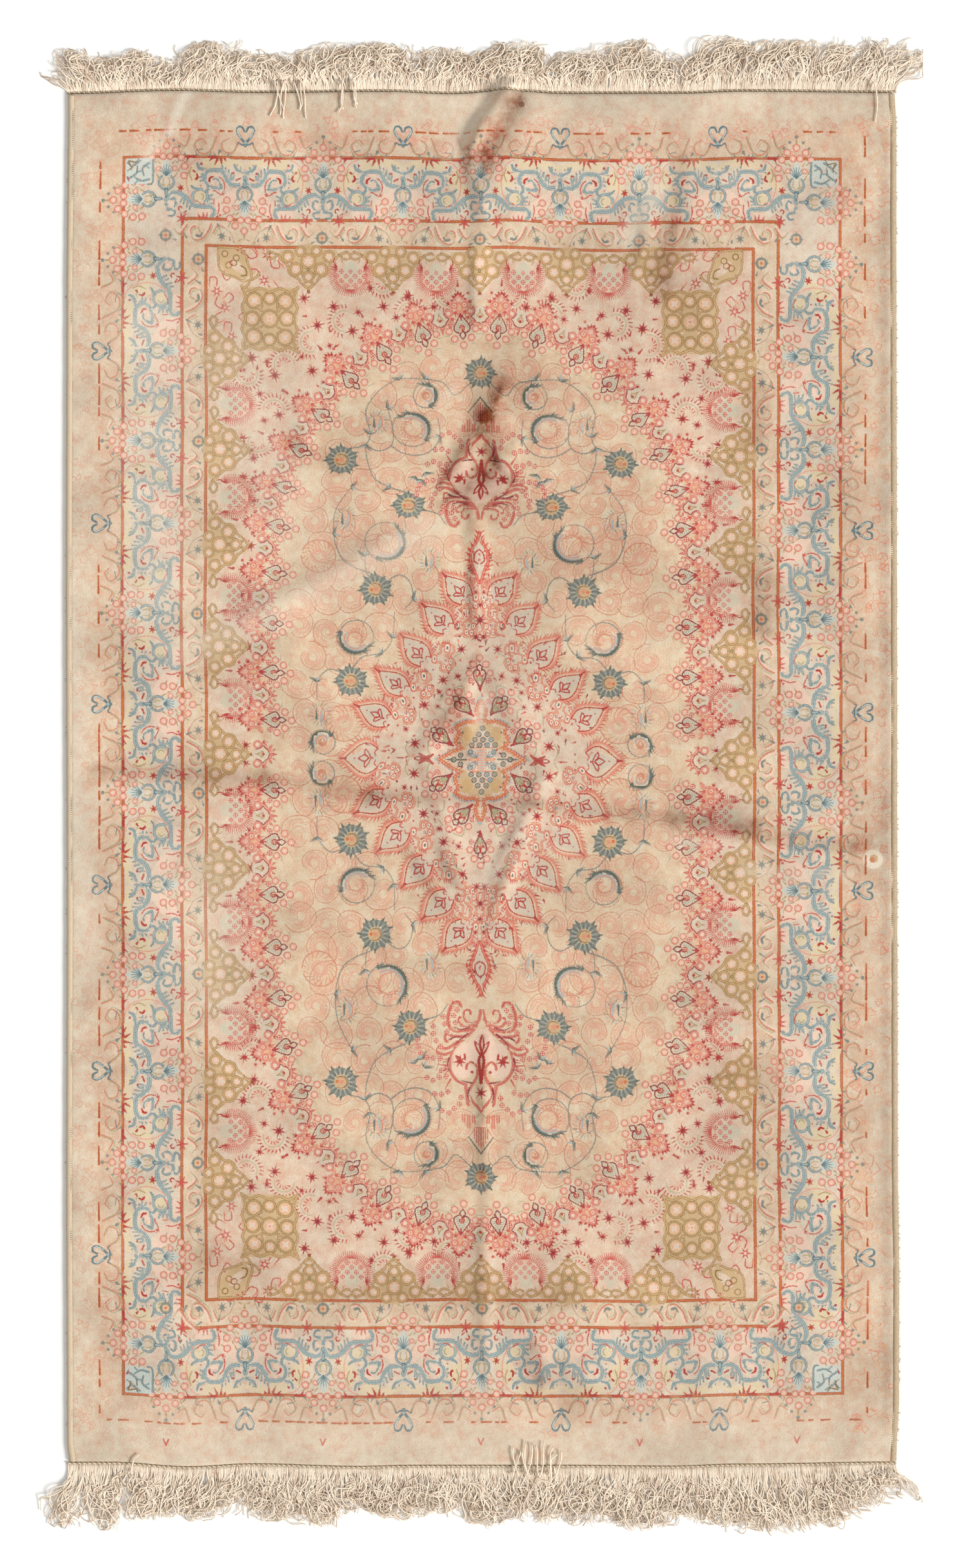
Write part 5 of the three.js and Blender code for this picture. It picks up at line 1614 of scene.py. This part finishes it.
def yarn_material(name, pale, dark, streak, stretch):
    """Spun yarn: two tones streaked along it, more of the dark one where streak is high."""
    material = bpy.data.materials.new(name)
    material.use_nodes = True
    tree = material.node_tree
    tree.nodes.clear()
    place = add(tree, "ShaderNodeTexCoord").outputs["Object"]
    place = vectors(tree, "MULTIPLY", place, stretch)
    streaks = noise(tree, place, 1.0, 4.0, 0.7, "3D")[0]
    mixed = maths(tree, "MULTIPLY_ADD", streaks, 1.6, streak - 0.8)
    mixed = maths(tree, "ADD", mixed, attribute(tree, "shade", "Fac"), clamp=True)
    colour = mix(tree, mixed, linear(pale), linear(dark))
    fibres = noise(tree, place, 14.0, 2.0, 0.5, "3D")[0]
    relief = add(tree, "ShaderNodeBump", {"Height": fibres, "Strength": 0.6, "Distance": 0.0006})
    surface = add(tree, "ShaderNodeBsdfPrincipled", {
        "Base Color": colour, "Normal": relief.outputs[0], "Roughness": 0.95, "Specular IOR Level": 0.15})
    add(tree, "ShaderNodeOutputMaterial", {0: surface.outputs[0]})
    return material


# The cord's section: x outwards from its line, z up from the floor, and how dark each point is
CORD_SECTION = np.array([(-2.6, 0), (2.2, 0), (3.5, 2.4), (3.2, 5.2), (1.8, 7.4), (-0.6, 8.5), (-7.0, 8.9),
                         (-7.0, 3.0)])
CORD_SHADE = [0.3, 0.4, 0.5, 0.4, 0.3, 0.15, 0.05, 0.1]
CORD_LINE, CORD_MIDDLE = 696.4, 3.9
for side, name, edge_rows, tufts, pale, dark, streak in (
        (-1, "left", LEFT_OUT, 60, "#D8C4A8", "#BCA788", 0.1),
        (1, "right", RIGHT_OUT, 220, "#D6BC98", "#6F6A60", 0.12)):
    y = np.arange(-1154.5, 1154.6, 1.75)
    edge = side * (CORD_LINE + eased_column(edge_rows, y))
    run = y + end_shift(edge, y)
    bulge = np.where(np.arange(len(y)) % 2, 1.0, 0.84) + 0.08 * np.sin(y / 9.7) * np.sin(y / 23.1)
    section_x = side * CORD_SECTION[:, 0] * np.where(CORD_SECTION[:, 0] > -4, bulge[:, None], 1)
    section_z = CORD_MIDDLE + (CORD_SECTION[:, 1] - CORD_MIDDLE) * (0.5 + 0.5 * bulge[:, None])
    slant = 0.28 * section_x * (abs(run[:, None]) < 1150)
    rings = np.stack([edge[:, None] + section_x, run[:, None] + slant,
                      lift(edge, run)[:, None] + np.maximum(section_z, 0)], axis=2)
    number = np.arange(rings[..., 0].size).reshape(len(y), -1)
    after = np.roll(number, -1, axis=1)
    faces = np.stack([number[:-1], number[1:], after[1:], after[:-1]], axis=-1).reshape(-1, 4).tolist()
    faces += [number[0].tolist(), number[-1, ::-1].tolist()]
    faces = [face[::side] for face in faces]
    verts = rings.reshape(-1, 3)
    # loose ends of the binding
    at = np.sort(random.uniform(-1120, 1120, tufts))
    t = np.linspace(0, 1, 5)
    grow = random.uniform(1.2, 4.0, tufts)[:, None]
    lean = random.uniform(-2.5, 2.5, tufts)[:, None]
    start = np.interp(at, y, edge)[:, None]
    paths = np.stack([start + side * (2.2 + grow * t), at[:, None] + lean * t**1.5,
                      4.4 - 2.8 * t**2 + 0 * lean], axis=2)
    more, more_faces = tube(paths, np.tile(0.8 - 0.45 * t, (tufts, 1)), 4)
    faces += moved_on(more_faces, len(verts))
    shade = np.concatenate([np.tile(CORD_SHADE, len(y)), np.full(len(more), 0.45)])
    binding = yarn_material(f"wool side binding {name}", pale, dark, streak, (900, 230, 900))
    add_piece(f"side_cord_{name}_bound", np.vstack([verts, more]), faces, shade, binding,
              f"side_cord_{name}")

# ================================================================ Twined rows
# Outside the last row of knots a pair of wefts, one brown and one cream, is twisted round the
# warps: it shows as a row of slanting stitches between the pile and the fringe.
def end_line(end, x):
    """The y of the pile's end at x."""
    return end * (PILE_LONG + eased_column(TOP_OUT if end > 0 else BOTTOM_OUT, x))


STITCH, PLY_RADIUS = 8.4, 1.15
twine = yarn_material("twined cotton weft", "#E4D5B8", "#866449", 0.15, (300, 300, 300))
for end, name in ((1, "top"), (-1, "bottom")):
    x = np.arange(-698.5, 698.6, 0.95)
    y = end_line(end, x) + end * 2.4
    plies = []
    for ply in (0, np.pi):
        turn = 2 * np.pi * x / STITCH + ply
        plies.append(np.stack([x, y + 0.95 * np.cos(turn), 3.1 + 1.25 * np.sin(turn) + lift(x, y)], axis=1))
    verts, faces = tube(np.array(plies), np.full((2, len(x)), PLY_RADIUS), 5)
    shade = np.repeat((-0.25, 0.5), len(verts) // 2)
    add_piece(f"twining_{name}_wefts", verts, faces, shade, twine, f"twining_{name}")

# ================================================================ Fringes
# The cotton warps' own ends, each a loose two-ply yarn left to tangle: they lie on the floor in
# locks and cross each other, and a few are flung back over the pile.
# In millimetres: the place along the end, how far the tips reach and how far they are swept aside
FRINGES = {
    "top": [(-697, 32, -44), (-676, 74, -22), (-630, 66, -15), (-580, 84, -2), (-555, 60, 0),
            (-535, 38, 2), (-512, 52, 6), (-490, 90, 10), (-450, 92, 12), (-380, 74, 8), (-330, 62, -6),
            (-250, 84, -4), (-130, 82, 8), (-50, 76, 16), (60, 80, 12), (180, 72, 6), (240, 96, -6),
            (300, 58, -4), (380, 92, 10), (440, 78, 14), (540, 92, 20), (600, 76, 16), (650, 94, 18),
            (680, 80, 28), (697, 62, 48)],
    "bottom": [(-697, 112, -6), (-650, 120, 0), (-622, 92, -4), (-600, 56, -8), (-570, 92, -14),
               (-430, 96, -18), (-400, 72, -6), (-370, 106, 6), (-270, 102, 6), (-220, 72, 2),
               (-140, 98, 0), (-90, 76, 2), (10, 108, 4), (70, 84, 4), (160, 112, 2), (205, 92, 2),
               (260, 114, 4), (320, 94, 8), (430, 116, 18), (560, 112, 34), (620, 84, 28), (660, 58, 14),
               (680, 46, 14), (697, 78, 46)],
}
# Yarns flung back over the pile: end, where, how far back and how far to the side
FLUNG = {
    "top": [(-350, 34, 14), (-342, 40, -10), (-335, 44, 6), (-326, 38, -18), (-318, 30, 12),
            (-310, 44, 20), (-300, 26, -8), (-240, 30, 10), (-230, 36, -12), (-222, 28, 16),
            (-214, 22, 4), (657, 50, 10)],
    "bottom": [(52, 24, 10), (62, 30, -8), (72, 36, 14), (82, 40, -12), (92, 38, 18), (102, 34, -16),
               (112, 30, 10), (122, 24, 12), (88, 22, -24), (106, 18, 22), (-590, 14, 8)],
}
STRANDS, STEPS, SIDES = 1480, 16, 4
# How far outside the pile's end a yarn comes out
ROOT_OUT = 3.6


def sway(t, size, pace):
    """A wave along each yarn, its size and pace drawn from two ranges."""
    size, pace, phase = (random.uniform(*span, STRANDS)[:, None] for span in (size, pace, (0, 6.28)))
    return size * np.sin(pace * t + phase)


cotton = yarn_material("undyed cotton warp", "#F7E8D4", "#A6866A", 0.15, (60, 60, 60))
for end, name in ((1, "top"), (-1, "bottom")):
    rows = np.array(FRINGES[name], float)
    lock = np.cumsum(random.uniform(0, 1, STRANDS) < 0.08)
    locks = int(lock.max()) + 1
    root = np.linspace(-697, 697, STRANDS)
    heart = np.array([root[lock == n].mean() for n in range(locks)])
    t = np.linspace(0, 1, STEPS)[None, :]
    reach = eased_column(rows[:, :2], root)
    sweep = eased_column(rows[:, ::2], root)
    reach = reach * (1 + random.normal(0, 0.05, locks)[lock] - random.uniform(0, 0.42, STRANDS) ** 1.6) - 3
    gather = 0.4 * (heart[lock] - root) + random.normal(0, 7, locks)[lock] + random.normal(0, 6, STRANDS)
    # each yarn's heading wanders more and more on its way out, and its lock's wander carries it along
    bow = sway(t, (0.5, 1.3), (4, 9))
    curl = sway(t, (0.3, 1.2), (8, 15))
    pace, phase = random.uniform(3, 7, locks)[lock], random.uniform(0, 6.28, locks)[lock]
    drift = 0.5 * np.sin(pace[:, None] * t + phase[:, None])
    heading = ease(t / 0.5) * (bow + curl * t + drift)
    ahead = np.cumsum(np.cos(heading), axis=1) - 1
    aside = np.cumsum(np.sin(heading), axis=1)
    scale = (reach / np.maximum(ahead.max(axis=1), 5))[:, None]
    out = ROOT_OUT + (ahead * scale) * (1 - ROOT_OUT / reach[:, None])
    x = root[:, None] + (sweep + gather)[:, None] * t**1.4 + aside * np.minimum(scale, 7)
    x = np.clip(x, -743, 743)
    level = random.uniform(0, 1, STRANDS)[:, None]
    z = 1.5 + (1.5 + 6.5 * level) * np.exp(-((t - 0.3 - 0.35 * level) / 0.34) ** 2) + 1.2 * level * t
    y = end_line(end, root)[:, None] + end * out
    paths = np.stack([x, y, z + lift(x, y)], axis=2)
    radii = (1.02 - 0.3 * t**3) * random.uniform(0.85, 1.12, STRANDS)[:, None]
    verts, faces = tube(paths, radii, SIDES)
    shades = np.repeat(random.normal(0, 0.23, STRANDS), STEPS * SIDES)
    # yarns flung back over the pile
    at, far, aside = np.array(FLUNG[name], float).T[:, :, None]
    out = 4 + 14 * np.sin(3.14 * np.minimum(t * 1.25, 1))
    out = out - np.where(t > 0.45, (t - 0.45) / 0.55, 0) * (far + 4)
    x = at + aside * t**1.6 + 5 * np.sin(7 * t + at) * t
    y = end_line(end, at) + end * out
    bent = np.stack([x, y, 2.5 + 10.2 * ease(t / 0.45) + lift(x, y)], axis=2)
    more, more_faces = tube(bent, np.full(bent.shape[:2], 1.25), 5)
    faces += moved_on(more_faces, len(verts))
    shade = np.concatenate([shades, np.zeros(len(more))])
    add_piece(f"fringe_{name}_yarns", np.vstack([verts, more]), faces, shade, cotton, f"fringe_{name}")

# ================================================================ Studio
# A pale floor, a large soft light raking in from the upper left and a straight-down long lens.
bpy.ops.mesh.primitive_plane_add(size=9, location=(0, 0, 0))
floor = bpy.context.object
floor.name = "studio_floor"
paper = bpy.data.materials.new("white studio floor")
paper.use_nodes = True
paper.node_tree.nodes["Principled BSDF"].inputs["Base Color"].default_value = linear("#F4F3F1")
paper.node_tree.nodes["Principled BSDF"].inputs["Roughness"].default_value = 0.9
floor.data.materials.append(paper)
bpy.context.scene.view_settings.view_transform = "Standard"
bpy.ops.object.light_add(type="SUN", rotation=(math.radians(55), 0, math.radians(64)))
sun = bpy.context.object
sun.data.energy = 3.1
sun.data.angle = math.radians(20)
sky = bpy.data.worlds.new("studio")
sky.use_nodes = True
sky.node_tree.nodes["Background"].inputs[0].default_value = (1.0, 0.995, 0.985, 1)
sky.node_tree.nodes["Background"].inputs[1].default_value = 0.60
bpy.context.scene.world = sky
# the camera's height, and the length of floor that its 36 mm of film takes in from there
HEIGHT, VIEW = 8.0, 2.6436
camera = bpy.data.objects.new("camera", bpy.data.cameras.new("camera"))
camera.location = (0.00745, -0.00889, HEIGHT)
camera.data.lens = 36 * HEIGHT / VIEW
bpy.context.scene.collection.objects.link(camera)
bpy.context.scene.camera = camera
